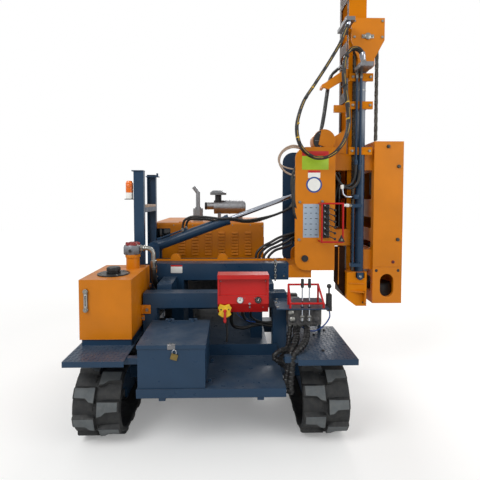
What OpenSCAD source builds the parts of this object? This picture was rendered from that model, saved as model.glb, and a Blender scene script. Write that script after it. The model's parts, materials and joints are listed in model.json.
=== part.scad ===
// Side-mast pile driver rig on two rubber tracks. Millimetres, +X right, +Y to the back, +Z up.
// Places are written from the middle between the tracks, the front edge of the fenders and the ground,
// and home() then carries the whole rig to the middle of its own footprint.

/* [Tracks] */
// Width of one rubber track
track_w = 300; // [250:5:330]
// Distance between the middle lines of the tracks
track_gauge = 1446; // [1400:2:1500]
// Length of a track over its lugs
track_len = 2250; // [2100:10:2350]
// Height of a track over its lugs
track_h = 490; // [470:2:500]
// Height of a lug
lug_h = 30; // [20:1:36]
// Thickness of the rubber belt
belt_t = 25; // [18:1:30]
// Lugs around one track
lug_count = 58; // [48:2:64]
// Width of the side frame's beam
side_frame_w = 130; // [110:2:150]
// Radius of a bottom roller
roller_r = 58; // [50:1:60]
// Bottom rollers in one track
roller_count = 5; // [4:1:6]
// Teeth of a drive sprocket
sprocket_teeth = 13; // [11:1:15]
/* [Chassis] */
// Half the width of the chassis box
chassis_half_w = 410; // [380:5:440]
// Height of the chassis underside above the ground
chassis_z = 250; // [230:5:280]
// Height of the chassis box
chassis_h = 150; // [120:5:150]
// Height of the top of the front deck
deck_z = 425; // [410:1:440]
// Half the width of the front deck
deck_half_w = 455; // [440:1:470]
// Depth of the front deck
deck_len = 490; // [480:2:500]
// Height of the deck's front lip
deck_lip = 54; // [40:1:70]
// Thickness of the deck and fender plates
plate_t = 6; // [4:0.5:8]
// Height of the top of the fenders
fender_z = 600; // [580:1:610]
// Half the distance between the fenders
fender_in = 527; // [515:1:535]
// Half the width over the fenders
fender_out = 896; // [885:1:905]
// Depth of the left fender
fender_left_len = 800; // [795:1:830]
// Depth of the right fender
fender_right_len = 590; // [560:1:600]
// Height of a fender's front lip
fender_lip = 36; // [25:1:45]
/* [Toolbox] */
// Left side of the toolbox
toolbox_x = -447; // [-452:1:-430]
// Width of the toolbox
toolbox_w = 409; // [380:1:420]
// Depth of the toolbox
toolbox_d = 470; // [420:1:475]
// Height of the toolbox with its lid
toolbox_h = 270; // [240:1:300]
// Wall of the toolbox
toolbox_t = 4; // [3:0.5:6]
// Radius of the lid's hinge barrels
hinge_r = 9; // [8:0.5:11]
/* [Oil tank] */
// Left side of the tank
tank_x = -883; // [-890:1:-870]
// Width of the tank
tank_w = 343; // [330:1:346]
// Front of the tank
tank_y = 235; // [225:1:245]
// Depth of the tank
tank_d = 550; // [520:1:560]
// Height of the tank
tank_h = 397; // [370:1:420]
// Height of the tank's base
tank_base_h = 46; // [36:1:60]
/* [Portal and upper frame] */
// Front of the lower beam
lower_y = 502; // [500:1:506]
// Depth of the lower beam
lower_d = 110; // [90:1:130]
// Underside of the lower beam
lower_z = 774; // [760:1:785]
// Height of the lower beam
lower_h = 109; // [90:1:118]
// Width of the portal's legs
leg_w = 100; // [80:1:110]
// Front of the upper frame
upper_y = 890; // [885:1:895]
// Underside of the upper frame
upper_z = 894; // [880:1:900]
// Height of the upper frame's front beam
upper_h = 139; // [120:1:142]
// Depth of each beam of the upper frame
upper_beam_d = 140; // [120:1:145]
// Height of the rear beam
upper_rear_h = 90; // [70:1:100]
// Left end of the upper frame
upper_x0 = -590; // [-600:1:-570]
// Left end of its front beam
front_beam_x0 = -556; // [-570:1:-540]
// Right end of the upper frame
upper_x1 = 600; // [590:1:610]
/* [Tilting cradle] */
// Place of the tilt pin across the rig
pivot_x = 730; // [725:1:735]
// Height of the tilt pin
pivot_z = 1078; // [1070:1:1084]
// Radius of the tilt pin
pivot_r = 27.5; // [22:0.5:30]
// Thickness of the cradle's cheeks
cheek_t = 16; // [12:1:20]
// Front face of the front cheek
cheek_y = 862; // [858:1:864]
// Left edge of the front cheek
cheek_x0 = 647; // [640:1:655]
// Right edge of both cheeks
cheek_x1 = 979; // [970:1:985]
// Top of the cheeks
cheek_top = 2000; // [1950:5:2050]
// Left edge of the rear cheek
rear_cheek_x0 = 595; // [590:1:610]
// Front face of the rear cheek
rear_cheek_y = 1245; // [1243:1:1247]
// Lean of the mast from level when it lies on its rest, in degrees
rest_lean = 3; // [2:0.5:6]
/* [Tilt cylinder] */
// Base pin of the tilt cylinder across the rig
tilt_base_x = -571; // [-575:1:-560]
// Height of the base pin
tilt_base_z = 1140; // [1132:1:1150]
// Rod's pin across the rig
tilt_eye_x = 716; // [710:1:722]
// Height of the rod's pin
tilt_eye_z = 1617; // [1605:1:1630]
// Middle line of the cylinder from the front
tilt_y = 1155; // [1150:1:1160]
// Radius of the barrel
tilt_barrel_r = 44; // [38:0.5:46]
// Radius of the rod
tilt_rod_r = 21; // [16:0.5:24]
// Length of the barrel from its pin
tilt_barrel_l = 715; // [700:1:720]
/* [Mast] */
// Left face of the mast
mast_x = 1111; // [1108:1:1114]
// Width of the mast's rails
mast_w = 149; // [140:1:150]
// Front of the front rail
mast_y = 975; // [972:1:978]
// Rear of the rear rail
mast_y1 = 1240; // [1235:1:1242]
// Depth of one rail
rail_d = 48; // [40:1:52]
// Wall of a rail
rail_t = 12; // [8:0.5:14]
// Bottom of the mast
mast_z = 669; // [650:1:690]
// Top of the mast
mast_top = 3450; // [3300:10:3500]
// Height of the mast's foot
foot_h = 288; // [250:1:300]
/* [Lift cylinder] */
// Middle of the lift cylinder across the rig
lift_x = 1205; // [1203:1:1207]
// Middle of the lift cylinder from the front
lift_y = 928; // [925:1:930]
// Radius of its barrel
lift_r = 37; // [32:0.5:40]
// Top of its barrel
lift_top = 2660; // [2600:10:2700]
// Radius of its rod
lift_rod_r = 26; // [20:0.5:28]
// Radius of the chain sheave
sheave_r = 108; // [100:1:112]
// Height of the sheave's axle
sheave_z = 2905; // [2890:5:2940]
/* [Hammer] */
// Left side of the hammer's housing
hammer_x = 1316; // [1310:1:1320]
// Width of the housing
hammer_w = 248; // [230:1:260]
// Front of the housing
hammer_y = 900; // [890:1:905]
// Depth of the housing
hammer_d = 355; // [340:1:360]
// Bottom of the hammer
hammer_z = 687; // [680:1:700]
// Top of the housing
hammer_top = 2054; // [2000:5:2100]
// Plate of the housing
hammer_t = 14; // [10:1:18]
// Reach of the latch on the housing's right side
latch_reach = 27; // [20:1:35]
/* [Hood] */
// Left side of the hood
hood_x = -622; // [-630:1:-610]
// Width of the hood
hood_w = 1050; // [1000:2:1060]
// Front of the hood
hood_y = 1340; // [1335:1:1350]
// Depth of the hood
hood_d = 950; // [900:5:960]
// Underside of the hood
hood_z = 560; // [550:1:570]
// Top of the hood
hood_top = 1345; // [1300:1:1350]
// Sheet of the hood
hood_t = 6; // [4:0.5:8]
// Louvre columns in the front of the hood
louvre_cols = 6; // [4:1:6]
// Louvre rows
louvre_rows = 8; // [6:1:9]
// Pitch of the louvre rows
louvre_pitch = 29; // [26:1:30]
/* [Rest post] */
// Left side of the rest post
post_x = -664; // [-672:1:-655]
// Width of its uprights
post_w = 80; // [70:1:88]
// Top of its uprights
post_top = 1795; // [1750:5:1850]

/* [Hidden] */
seat = 0.3;      // clearance of a piece that rests on or beside another
run_fit = 0.06;  // clearance round a pin
slide_gap = 0.5; // clearance of a sliding shoe
clear = 12;      // air between pieces that pass each other

orange = [0.85, 0.45, 0.05];
slate = [0.13, 0.19, 0.28];
red = [0.75, 0.1, 0.08];
black = [0.07, 0.07, 0.08];
steel = [0.6, 0.61, 0.63];
chrome = [0.82, 0.83, 0.85];
fine = 48;

// Extent of the rig, which home() centres
track_y0 = 40;
rig_x0 = -fender_out;
rig_x1 = hammer_x + hammer_w + latch_reach;
rig_y1 = max(track_y0 + track_len, hood_y + hood_d);
module home() {
    translate([-(rig_x0 + rig_x1) / 2, -rig_y1 / 2, 0]) children();
}

// A box from its lowest corner to its highest
module block(a, b) {
    translate(a) cube(b - a);
}

// Round bars along each axis, from a point
module bar_x(p, r, l) {
    translate(p) rotate([0, 90, 0]) cylinder(r = r, h = l, $fn = fine);
}
module bar_y(p, r, l) {
    translate(p) rotate([-90, 0, 0]) cylinder(r = r, h = l, $fn = fine);
}
module bar_z(p, r, l) {
    translate(p) cylinder(r = r, h = l, $fn = fine);
}
// A round bar from one point to another, and a tube with balls in its bends
module rod(a, b, r) {
    d = b - a;
    translate(a) rotate([0, acos(d[2] / norm(d)), atan2(d[1], d[0])]) cylinder(r = r, h = norm(d), $fn = fine);
}
module tube(path, r) {
    for (i = [0:len(path) - 2])
        rod(path[i], path[i + 1], r);
    for (i = [1:len(path) - 2])
        translate(path[i]) sphere(r = r + 0.6, $fn = fine);
}
// Raises a drawing in X and Z into a plate that runs back from y
module plate_y(y, t) {
    translate([0, y + t, 0]) rotate([90, 0, 0]) linear_extrude(t) children();
}
// Raises a drawing in Y and Z into a bar that runs right from x
module plate_x(x, t) {
    translate([x, 0, 0]) rotate([90, 0, 90]) linear_extrude(t) children();
}

// Tracks
end_r = track_h / 2 - lug_h;                 // outside of the belt round the wheels
flat_len = track_len - 2 * (end_r + lug_h);
front_y = track_y0 + end_r + lug_h;          // idler's axle
back_y = front_y + flat_len;                 // sprocket's axle
axle_z = end_r + lug_h;
loop_len = 2 * flat_len + 2 * PI * end_r;
wheel_r = end_r - belt_t - 0.8;

// Point on the loop, s round it from the front bottom, h above the belt
function on_loop(s, h) =
    let (arc = PI * end_r)
    s < flat_len ? [front_y + s, axle_z - end_r - h] :
    s < flat_len + arc ?
        let (a = -90 + (s - flat_len) / end_r * 180 / PI)
        [back_y + (end_r + h) * cos(a), axle_z + (end_r + h) * sin(a)] :
    s < 2 * flat_len + arc ? [back_y - (s - flat_len - arc), axle_z + end_r + h] :
        let (a = 90 + (s - 2 * flat_len - arc) / end_r * 180 / PI)
        [front_y + (end_r + h) * cos(a), axle_z + (end_r + h) * sin(a)];

// Outline of the belt with its lugs, the lugs set on by a part of their pitch
module lug_outline(phase) {
    pitch = loop_len / lug_count;
    // start and height of each corner, in parts of the pitch and of the lug's height
    corners = [[0.06, 0], [0.14, 1], [0.46, 1], [0.54, 0]];
    polygon([for (i = [0:lug_count - 1], c = corners)
        on_loop((i + phase + c[0] < lug_count ? i + phase + c[0] : i + phase + c[0] - lug_count) * pitch,
                c[1] * lug_h)]);
}

module belt_hollow() {
    steps = 24;
    polygon(concat(
        [for (i = [0:steps]) [back_y, axle_z] + (end_r - belt_t) * [cos(-90 + i * 180 / steps), sin(-90 + i * 180 / steps)]],
        [for (i = [0:steps]) [front_y, axle_z] + (end_r - belt_t) * [cos(90 + i * 180 / steps), sin(90 + i * 180 / steps)]]));
}

module track(side) {
    x = side * track_gauge / 2;
    color(black)
    union() {
        plate_x(x - track_w / 2, track_w / 2)
            difference() {
                lug_outline(0);
                belt_hollow();
            }
        plate_x(x, track_w / 2)
            difference() {
                lug_outline(0.45);
                belt_hollow();
            }
    }
}
module track_left() { track(-1); }
module track_right() { track(1); }

// Side frame: beam between the wheels, axle stubs and the arm to the chassis
frame_z0 = 2 * roller_r + axle_z - end_r + belt_t + 12;
frame_z1 = axle_z + 75;
module track_frame(side) {
    x = side * track_gauge / 2;
    half = side_frame_w / 2;
    color(slate) {
        difference() {
            union() {
                plate_x(x - half, side_frame_w)
                    polygon([[front_y + wheel_r + clear, frame_z0], [back_y - wheel_r - clear, frame_z0],
                             [back_y - wheel_r - clear, frame_z1 - 30], [back_y - wheel_r - 60, frame_z1],
                             [front_y + wheel_r + 60, frame_z1], [front_y + wheel_r + clear, frame_z1 - 30]]);
                // cheeks that hold the idler and the sprocket
                for (s = [-1, 1]) {
                    block([x + s * (half - 8) - 8, front_y - 60, axle_z - 40],
                          [x + s * (half - 8) + 8, front_y + wheel_r + clear + 1, axle_z + 40]);
                    block([x + s * (half - 8) - 8, back_y - wheel_r - clear - 1, axle_z - 40],
                          [x + s * (half - 8) + 8, back_y + 60, axle_z + 40]);
                    // webs over the bottom rollers
                    block([x + s * (half - 8) - 8, front_y + wheel_r + clear + 40, frame_z0 - roller_r - 30],
                          [x + s * (half - 8) + 8, back_y - wheel_r - clear - 40, frame_z0 + 1]);
                }
            }
            for (y = [front_y, back_y])
                bar_x([x - half - 1, y, axle_z], 26, side_frame_w + 2);
        }
        // arms to the chassis
        for (y = arm_y)
            block([side > 0 ? chassis_half_w : -x_arm, y, arm_z], [side > 0 ? x_arm : -chassis_half_w, y + arm_d, arm_z + arm_h]);
    }
}
arm_y = [620, 1560];
arm_d = 200;
arm_h = 90;
arm_z = frame_z0 + 20;
x_arm = track_gauge / 2 - side_frame_w / 2;
module track_frame_left() { track_frame(-1); }
module track_frame_right() { track_frame(1); }

roller_z = axle_z - end_r + belt_t + roller_r + seat;
wheel_w = side_frame_w - 2 * 16 - 2 * 2;
module track_wheels() {
    first = front_y + wheel_r + clear + 40 + roller_r;
    last = back_y - wheel_r - clear - 40 - roller_r;
    color(steel)
    for (side = [-1, 1]) {
        x = side * track_gauge / 2;
        // idler with its axle
        bar_x([x - wheel_w / 2, front_y, axle_z], wheel_r, wheel_w);
        bar_x([x - side_frame_w / 2 - 6, front_y, axle_z], 26 - seat, side_frame_w + 12);
        // sprocket with its drive on the inner side
        plate_x(x - wheel_w / 4, wheel_w / 2) translate([back_y, axle_z]) sprocket_shape();
        bar_x([x - wheel_w / 2, back_y, axle_z], wheel_r * 0.6, wheel_w);
        bar_x([x - side_frame_w / 2 - 6, back_y, axle_z], 26 - seat, side_frame_w + 12);
        for (i = [0:roller_count - 1]) {
            y = first + (last - first) * i / (roller_count - 1);
            bar_x([x - wheel_w / 2, y, roller_z], roller_r, wheel_w);
            bar_x([x - side_frame_w / 2 + 16 + seat, y, roller_z], 20, side_frame_w - 32 - 2 * seat);
        }
    }
}
module sprocket_shape() {
    root = wheel_r - 32;
    polygon([for (i = [0:sprocket_teeth - 1], c = [[0, 0], [0.3, 0], [0.42, 1], [0.72, 1], [0.84, 0]])
        let (a = (i + c[0]) * 360 / sprocket_teeth)
        (root + 32 * c[1]) * [cos(a), sin(a)]]);
}

// Chassis
chassis_y0 = deck_len + 10;
chassis_y1 = 2150;
chassis_top = chassis_z + chassis_h;
floor_z = hood_z - 40;
tow_t = 30;
tow_r = 22;
module chassis() {
    color(slate) {
        block([-chassis_half_w, chassis_y0, chassis_z], [chassis_half_w, chassis_y1, chassis_top]);
        // towing eye at the back
        difference() {
            plate_x(-tow_t / 2, tow_t) union() {
                translate([chassis_y1 - 1, chassis_z + 30]) square([61, 90]);
                translate([chassis_y1 + 60, chassis_z + 75]) circle(r = 45, $fn = fine);
            }
            bar_x([-tow_t, chassis_y1 + 60, chassis_z + 75], tow_r, 2 * tow_t);
        }
        // rear platform under the hood, on two long sills
        block([hood_x, hood_y - 20, floor_z], [hood_x + hood_w, hood_y + hood_d, hood_z - seat]);
        for (s = [-1, 1])
            block([s * 300 - 50, hood_y - 20, chassis_top], [s * 300 + 50, chassis_y1, floor_z]);
        // columns that carry the upper frame
        for (s = [-1, 1])
            block([s * 330 - 50, upper_y, chassis_top], [s * 330 + 50, upper_y + 2 * upper_beam_d + 40, upper_z]);
    }
}

module front_deck() {
    riser_h = 83;
    rail_x = 300;
    color(slate) {
        plate_x(-deck_half_w, 2 * deck_half_w)
            polygon([[0, deck_z], [0, deck_z - deck_lip], [plate_t, deck_z - deck_lip], [plate_t, deck_z - plate_t],
                     [deck_len - plate_t, deck_z - plate_t], [deck_len - plate_t, chassis_top],
                     [deck_len, chassis_top], [deck_len, deck_z + riser_h],
                     [deck_len - plate_t, deck_z + riser_h], [deck_len - plate_t, deck_z]]);
        // tab on the chassis box
        block([clear - chassis_half_w, deck_len - plate_t, chassis_top],
              [chassis_half_w - clear, deck_len + 60, chassis_top + plate_t]);
        for (s = [-1, 1])
            block([s * rail_x - 20, plate_t, deck_z - deck_lip - 20], [s * rail_x + 20, chassis_y0, deck_z - plate_t]);
    }
}

// Fender with a bent-down front lip, on brackets from the chassis
module fender(side, len) {
    x0 = side > 0 ? fender_in : -fender_out;
    w = fender_out - fender_in;
    color(slate) {
        plate_x(x0, w)
            polygon([[0, fender_z], [0, fender_z - fender_lip], [plate_t, fender_z - fender_lip],
                     [plate_t, fender_z - plate_t], [len, fender_z - plate_t], [len, fender_z]]);
        // bracket from the portal's leg or the deck
        block([side > 0 ? deck_half_w : -fender_in - 60, 60, fender_z - plate_t - 40],
              [side > 0 ? fender_in + 60 : -deck_half_w, 100, fender_z - plate_t]);
    }
}
module fender_left() { fender(-1, fender_left_len); }
module fender_right() { fender(1, fender_right_len); }

// Toolbox on the deck, its lid hinged at the back on two hinges
lid_h = 24;
toolbox_y = 8;
toolbox_z = deck_z + seat;
lid_z = toolbox_z + toolbox_h - lid_h;
hinge_y = toolbox_d + hinge_r;
hinge_z = lid_z + lid_h;
hinge_x = [toolbox_x + 90, toolbox_x + toolbox_w - 150];
hinge_w = 60;
module toolbox() {
    color(slate) {
        difference() {
            block([toolbox_x, toolbox_y, toolbox_z], [toolbox_x + toolbox_w, toolbox_d, lid_z]);
            block([toolbox_x + toolbox_t, toolbox_y + toolbox_t, toolbox_z + toolbox_t],
                  [toolbox_x + toolbox_w - toolbox_t, toolbox_d - toolbox_t, lid_z + 1]);
        }
        // outer knuckles with the pin
        for (x = hinge_x) {
            for (k = [0, 2])
                bar_x([x + k * hinge_w / 3, hinge_y, hinge_z], hinge_r, hinge_w / 3);
            bar_x([x, hinge_y, hinge_z], 4, hinge_w);
            for (k = [0, 2])
                block([x + k * hinge_w / 3, toolbox_d, lid_z - 40], [x + (k + 1) * hinge_w / 3, toolbox_d + 4, hinge_z]);
        }
    }
}
module toolbox_lid() {
    over = 5;
    color(slate) {
        difference() {
            block([toolbox_x - over, toolbox_y - over, lid_z + seat],
                  [toolbox_x + toolbox_w + over, toolbox_d - seat, lid_z + lid_h]);
            block([toolbox_x - seat, toolbox_y - seat, lid_z - 1],
                  [toolbox_x + toolbox_w + seat, toolbox_d - toolbox_t, lid_z + lid_h - toolbox_t]);
        }
        // middle knuckle and its strap over the lid
        for (x = hinge_x)
            difference() {
                union() {
                    bar_x([x + hinge_w / 3 + seat, hinge_y, hinge_z], hinge_r, hinge_w / 3 - 2 * seat);
                    block([x + hinge_w / 3 + seat, toolbox_d - 40, hinge_z - 2],
                          [x + hinge_w * 2 / 3 - seat, hinge_y, hinge_z + hinge_r]);
                }
                bar_x([x, hinge_y, hinge_z], 4 + run_fit, hinge_w);
            }
    }
}

// Lower portal: beam on two legs between the fenders
lower_half_w = fender_in - seat;
module lower_portal() {
    color(slate) {
        block([-lower_half_w, lower_y, lower_z], [lower_half_w, lower_y + lower_d, lower_z + lower_h]);
        for (s = [-1, 1]) {
            x = s * (lower_half_w - leg_w / 2);
            block([x - leg_w / 2, lower_y, chassis_top + 30], [x + leg_w / 2, lower_y + lower_d, lower_z]);
            block([s > 0 ? chassis_half_w : x - leg_w / 2, lower_y, chassis_z + 40],
                  [s > 0 ? x + leg_w / 2 : -chassis_half_w, lower_y + lower_d - 85, chassis_top + 30]);
        }
        // ties back to the upper frame
        for (s = [-1, 1])
            block([s * 390 - 55, lower_y + lower_d, lower_z + 20], [s * 390 + 55, upper_y, upper_z + 30]);
    }
}

// Upper frame: two beams across, joined at the ends
rear_beam_y = upper_y + upper_beam_d + 60;
module upper_frame() {
    color(slate) {
        block([front_beam_x0, upper_y, upper_z], [upper_x1, upper_y + upper_beam_d, upper_z + upper_h]);
        block([upper_x0, rear_beam_y, upper_z], [upper_x1, rear_beam_y + upper_beam_d, upper_z + upper_rear_h]);
        for (x = [upper_x0, -60, upper_x1 - 120])
            block([x, upper_y + upper_beam_d, upper_z], [x + 120, rear_beam_y, upper_z + upper_rear_h]);
    }
    // base lugs of the tilt cylinder
    color(slate)
    for (s = [-1, 1])
        difference() {
            plate_y(tilt_y + s * (tilt_barrel_r + 14) - 8, 16)
                difference() {
                    union() {
                        translate([tilt_base_x, tilt_base_z]) circle(r = 52, $fn = fine);
                        translate([tilt_base_x - 52, upper_z + upper_rear_h]) square([104, tilt_base_z - upper_z - upper_rear_h]);
                    }
                    translate([tilt_base_x, tilt_base_z]) circle(r = 25 + run_fit, $fn = fine);
                }
        }
    color(steel)
    bar_y([tilt_base_x, tilt_y - tilt_barrel_r - 26, tilt_base_z], 25, 2 * tilt_barrel_r + 52);
}

// Pivot block at the right end, with two ears for the tilt pin
ear_r = 62;
ledge_d = 40;
ledge_z = upper_z + upper_h + 17;
ear_y = [cheek_y + cheek_t + 20, rear_cheek_y - 20 - 40];
module pivot_block() {
    color(orange)
    difference() {
        union() {
            block([upper_x1 + seat, upper_y, upper_z + 17], [pivot_x + ear_r, rear_beam_y + upper_beam_d, pivot_z - ear_r + 1]);
            for (y = ear_y)
                plate_y(y, 40) union() {
                    translate([pivot_x, pivot_z]) circle(r = ear_r, $fn = fine);
                    translate([pivot_x - ear_r, pivot_z - ear_r]) square([2 * ear_r, ear_r]);
                }
        }
        bar_y([pivot_x, cheek_y, pivot_z], pivot_r + run_fit, rear_cheek_y - cheek_y);
    }
    // ledge beam along the top of the upper frame
    color(orange)
    block([front_beam_x0 + 20, upper_y + upper_beam_d + seat, upper_z + upper_rear_h],
          [upper_x1 + seat, upper_y + upper_beam_d + ledge_d, ledge_z]);
    // pads on the ledge for the cylinder's hoses
    color(orange)
    for (x = [-367, 42])
        bar_y([x, upper_y + upper_beam_d + seat, ledge_z], 44, ledge_d - seat);
}

// Rest for the laid-down mast: two uprights and a pad between them
post_y0 = 800;
post_y1 = 1272;
post_d = 50;
pad_top = pivot_z + (mast_x - pivot_x) / cos(rest_lean) + tan(rest_lean) * (pivot_x - post_x - post_w) - 6;
module mast_rest() {
    color(slate) {
        for (y = [post_y0, post_y1])
            difference() {
                block([post_x, y, upper_z], [post_x + post_w, y + post_d, post_top]);
                block([post_x + 6, y + (y == post_y0 ? 6 : -1), upper_z + 6],
                      [post_x + post_w - 6, y + post_d - (y == post_y0 ? -1 : 6), post_top - 6]);
            }
        block([post_x, post_y0, upper_z - 60], [post_x + post_w, post_y1 + post_d, upper_z]);
        block([post_x + post_w, upper_y, upper_z - 60], [upper_x0 + 60, rear_beam_y + upper_beam_d, upper_z]);
        block([post_x, post_y0 + 20, pad_top - 60], [post_x + post_w, post_y1 + post_d - 20, pad_top - 20]);
        // cap of the front upright and ear of the rear one
        block([post_x - 14, post_y0 - 6, post_top - 1], [post_x + post_w, post_y0 + post_d + 8, post_top + 8]);
        block([post_x - 10, post_y1 - 5, post_top - 22], [post_x + post_w + 28, post_y1 + post_d + 5, post_top - 13]);
    }
    color(steel)
    bar_z([post_x + post_w + 12, post_y1 + post_d / 2, post_top - 13], 9, 28);
    color([0.62, 0.5, 0.42])
    block([post_x, post_y0 + post_d, pad_top - 20], [post_x + post_w, post_y1, pad_top]);
}

// Warning lamp on a bracket at the left of the rest
module beacon() {
    x = post_x - 39;
    y = post_y0 + 25;
    foot_z = 1574;
    glass_z = foot_z + 50;
    color(black) block([x - 36, y - 22, foot_z - 6], [post_x, y + 22, foot_z]);
    color("white") bar_z([x, y, foot_z], 28, glass_z - foot_z);
    color([0.95, 0.55, 0.05]) {
        bar_z([x, y, glass_z], 29, 80);
        bar_z([x, y, glass_z + 80], 24, 16);
        bar_y([x, y - 33, glass_z + 52], 13, 20);
    }
}

// Oil tank on its base
tank_z = fender_z + tank_base_h;
tank_top = tank_z + tank_h;
module oil_tank() {
    color(slate)
    block([tank_x + 12, tank_y + 8, fender_z + seat], [tank_x + tank_w - 4, tank_y + tank_d - 8, tank_z]);
    color(orange)
    block([tank_x, tank_y, tank_z], [tank_x + tank_w, tank_y + tank_d, tank_top]);
    // filler
    color(black) {
        bar_z([tank_x + 170, tank_y + 190, tank_top], 110, 8);
        bar_z([tank_x + 170, tank_y + 190, tank_top + 8], 40, 44);
    }
}
filter_x = tank_x + tank_w - 97;
filter_y = tank_y + tank_d - 130;
filter_head = [tank_top + 108, tank_top + 177];
pipe_z = filter_head[0] + 44;
pipe_bend = 38;
module return_filter() {
    color(orange) {
        bar_z([filter_x, filter_y, tank_top], 50, 88);
        bar_z([filter_x, filter_y, tank_top + 85], 56, filter_head[0] - tank_top - 85);
    }
    color(steel) {
        block([filter_x - 59, filter_y - 52, filter_head[0]], [filter_x + 59, filter_y + 52, filter_head[1]]);
        bar_y([filter_x - 6, filter_y - 58, filter_head[0] + 32], 15, 10);
    }
    color(red) {
        bar_z([filter_x, filter_y, filter_head[1]], 52, 14);
        for (a = [0:60:300])
            translate([filter_x, filter_y, filter_head[1]]) rotate([0, 0, a]) translate([44, 0, 0]) cylinder(r = 9, h = 22, $fn = fine);
        bar_z([filter_x, filter_y, filter_head[1] + 14], 34, 10);
    }
}
module suction_pipe() {
    x = filter_x + 59 + seat;
    turn_x = x + 98;
    color(steel) {
        bar_x([x, filter_y, pipe_z], 22, 26);
        bar_x([x + 25, filter_y, pipe_z], 16, turn_x - pipe_bend - x - 20);
        translate([turn_x - pipe_bend, filter_y, pipe_z - pipe_bend]) rotate([90, 0, 0])
            rotate_extrude(angle = 90, $fn = fine) translate([pipe_bend, 0]) circle(r = 18, $fn = fine);
        bar_z([turn_x, filter_y, pipe_z - pipe_bend - 60], 16, 65);
        bar_z([turn_x, filter_y, pipe_z - pipe_bend - 112], 24, 56);
    }
}

// Hood: open-bottomed shell with louvres and a window in front
grille_bars = 14;
grille_w = 660;
grille_x = hood_x + (hood_w - grille_w) / 2;
grille_z = [hood_z + 160, hood_z + 600];
module engine_hood() {
    bend = 14;
    mouth_h = louvre_pitch - 15;
    lip = 12;
    louvre_x = [for (i = [0:louvre_cols - 1]) hood_x + 238 + i * 126];
    louvre_z = [for (j = [0:louvre_rows - 1]) hood_top - 105 - j * louvre_pitch];
    color(orange)
    difference() {
        union() {
            plate_x(hood_x, hood_w)
                polygon([[hood_y, hood_z], [hood_y, hood_top - bend], [hood_y + bend, hood_top],
                         [hood_y + hood_d - bend, hood_top], [hood_y + hood_d, hood_top - bend], [hood_y + hood_d, hood_z]]);
            // hoods of the louvres
            for (x = louvre_x, z = louvre_z)
                plate_x(x, 62)
                    polygon([[hood_y + 1, z + mouth_h + 6], [hood_y, z + mouth_h + 6], [hood_y - lip, z + 4],
                             [hood_y - lip, z], [hood_y + 1, z]]);
        }
        plate_x(hood_x + hood_t, hood_w - 2 * hood_t)
            polygon([[hood_y + hood_t, hood_z - 1], [hood_y + hood_t, hood_top - bend - 2], [hood_y + bend + 2, hood_top - hood_t],
                     [hood_y + hood_d - bend - 2, hood_top - hood_t], [hood_y + hood_d - hood_t, hood_top - bend - 2],
                     [hood_y + hood_d - hood_t, hood_z - 1]]);
        for (x = louvre_x, z = louvre_z)
            plate_x(x + 2, 58)
                polygon([[hood_y - lip + 3, z - 1], [hood_y + hood_t + 1, z - 1], [hood_y + hood_t + 1, z + mouth_h],
                         [hood_y, z + mouth_h], [hood_y - lip + 3, z + 2]]);
        // window in front and the radiator's grille at the back
        block([hood_x + 16, hood_y - 1, hood_top - 150], [hood_x + 158, hood_y + hood_t + 1, hood_top - 56]);
        for (i = [0:grille_bars - 1])
            block([grille_x + i * grille_w / grille_bars, hood_y + hood_d - hood_t - 1, grille_z[0]],
                  [grille_x + (i + 0.6) * grille_w / grille_bars, hood_y + hood_d + 1, grille_z[1]]);
    }
}
engine_x = [hood_x + 342, hood_x + 862];
engine_h = 480;
module engine_block() {
    color(black)
    block([engine_x[0], hood_y + 160, hood_z], [engine_x[1], hood_y + hood_d - 180, hood_z + engine_h]);
}

cleaner_y = hood_y + 450;
module air_cleaner() {
    x0 = -67;
    z = hood_top + 138;
    stem_x = -22;
    color(steel) {
        bar_x([x0, cleaner_y, z], 72, 322);
        bar_x([x0 + 322, cleaner_y, z], 62, 10);
        for (x = [x0 + 40, x0 + 160, x0 + 290])
            bar_x([x, cleaner_y, z], 75, 14);
        bar_x([x0 - 97, cleaner_y, z + 12], 38, 98);
        bar_z([stem_x, cleaner_y, z + 60], 34, 72);
        translate([stem_x, cleaner_y, z + 130]) cylinder(r = 86, h = 26, $fn = fine);
        translate([stem_x, cleaner_y, z + 156]) cylinder(r1 = 86, r2 = 60, h = 20, $fn = fine);
        // feet on the hood
        for (x = [x0 + 40, x0 + 270])
            block([x, cleaner_y - 40, hood_top], [x + 34, cleaner_y + 40, z - 55]);
    }
}
module exhaust_pipe() {
    x = -225;
    y = hood_y + 300;
    knee_z = hood_top + 290;
    color(steel) {
        bar_z([x, y, hood_top], 50, 128);
        bar_z([x, y, hood_top + 128], 30, 14);
        tube([[x, y, hood_top + 141], [x, y, knee_z], [x - 44, y, knee_z + 58]], 21);
    }
}

// Red control box with a visor, on the front of the lower beam
box_x0 = 23;
box_x1 = 386;
box_d = 100;
box_z = lower_z - 14;
box_h = 281;
module control_box() {
    color(red)
    difference() {
        plate_x(box_x0, box_x1 - box_x0)
            polygon([[lower_y - seat, box_z], [lower_y - 60, box_z], [lower_y - box_d, box_z + 70],
                     [lower_y - box_d, box_z + box_h - 32], [lower_y - box_d - 24, box_z + box_h - 30],
                     [lower_y - box_d - 24, box_z + box_h], [lower_y - seat, box_z + box_h]]);
        // recessed panel under the visor
        block([box_x0 + 12, lower_y - box_d - 1, box_z + 128], [box_x1 - 12, lower_y - box_d + 14, box_z + box_h - 40]);
    }
    color(black)
    for (x = [box_x0 + 159, box_x0 + 288])
        bar_y([x, lower_y - box_d - 9, box_z + 95], 20, 12);
    // strap down its back to the beam
    color(slate)
    block([box_x0 + 60, lower_y - seat, lower_z + lower_h + seat], [box_x1 - 60, lower_y + 6, box_z + box_h - 20]);
}

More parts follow.
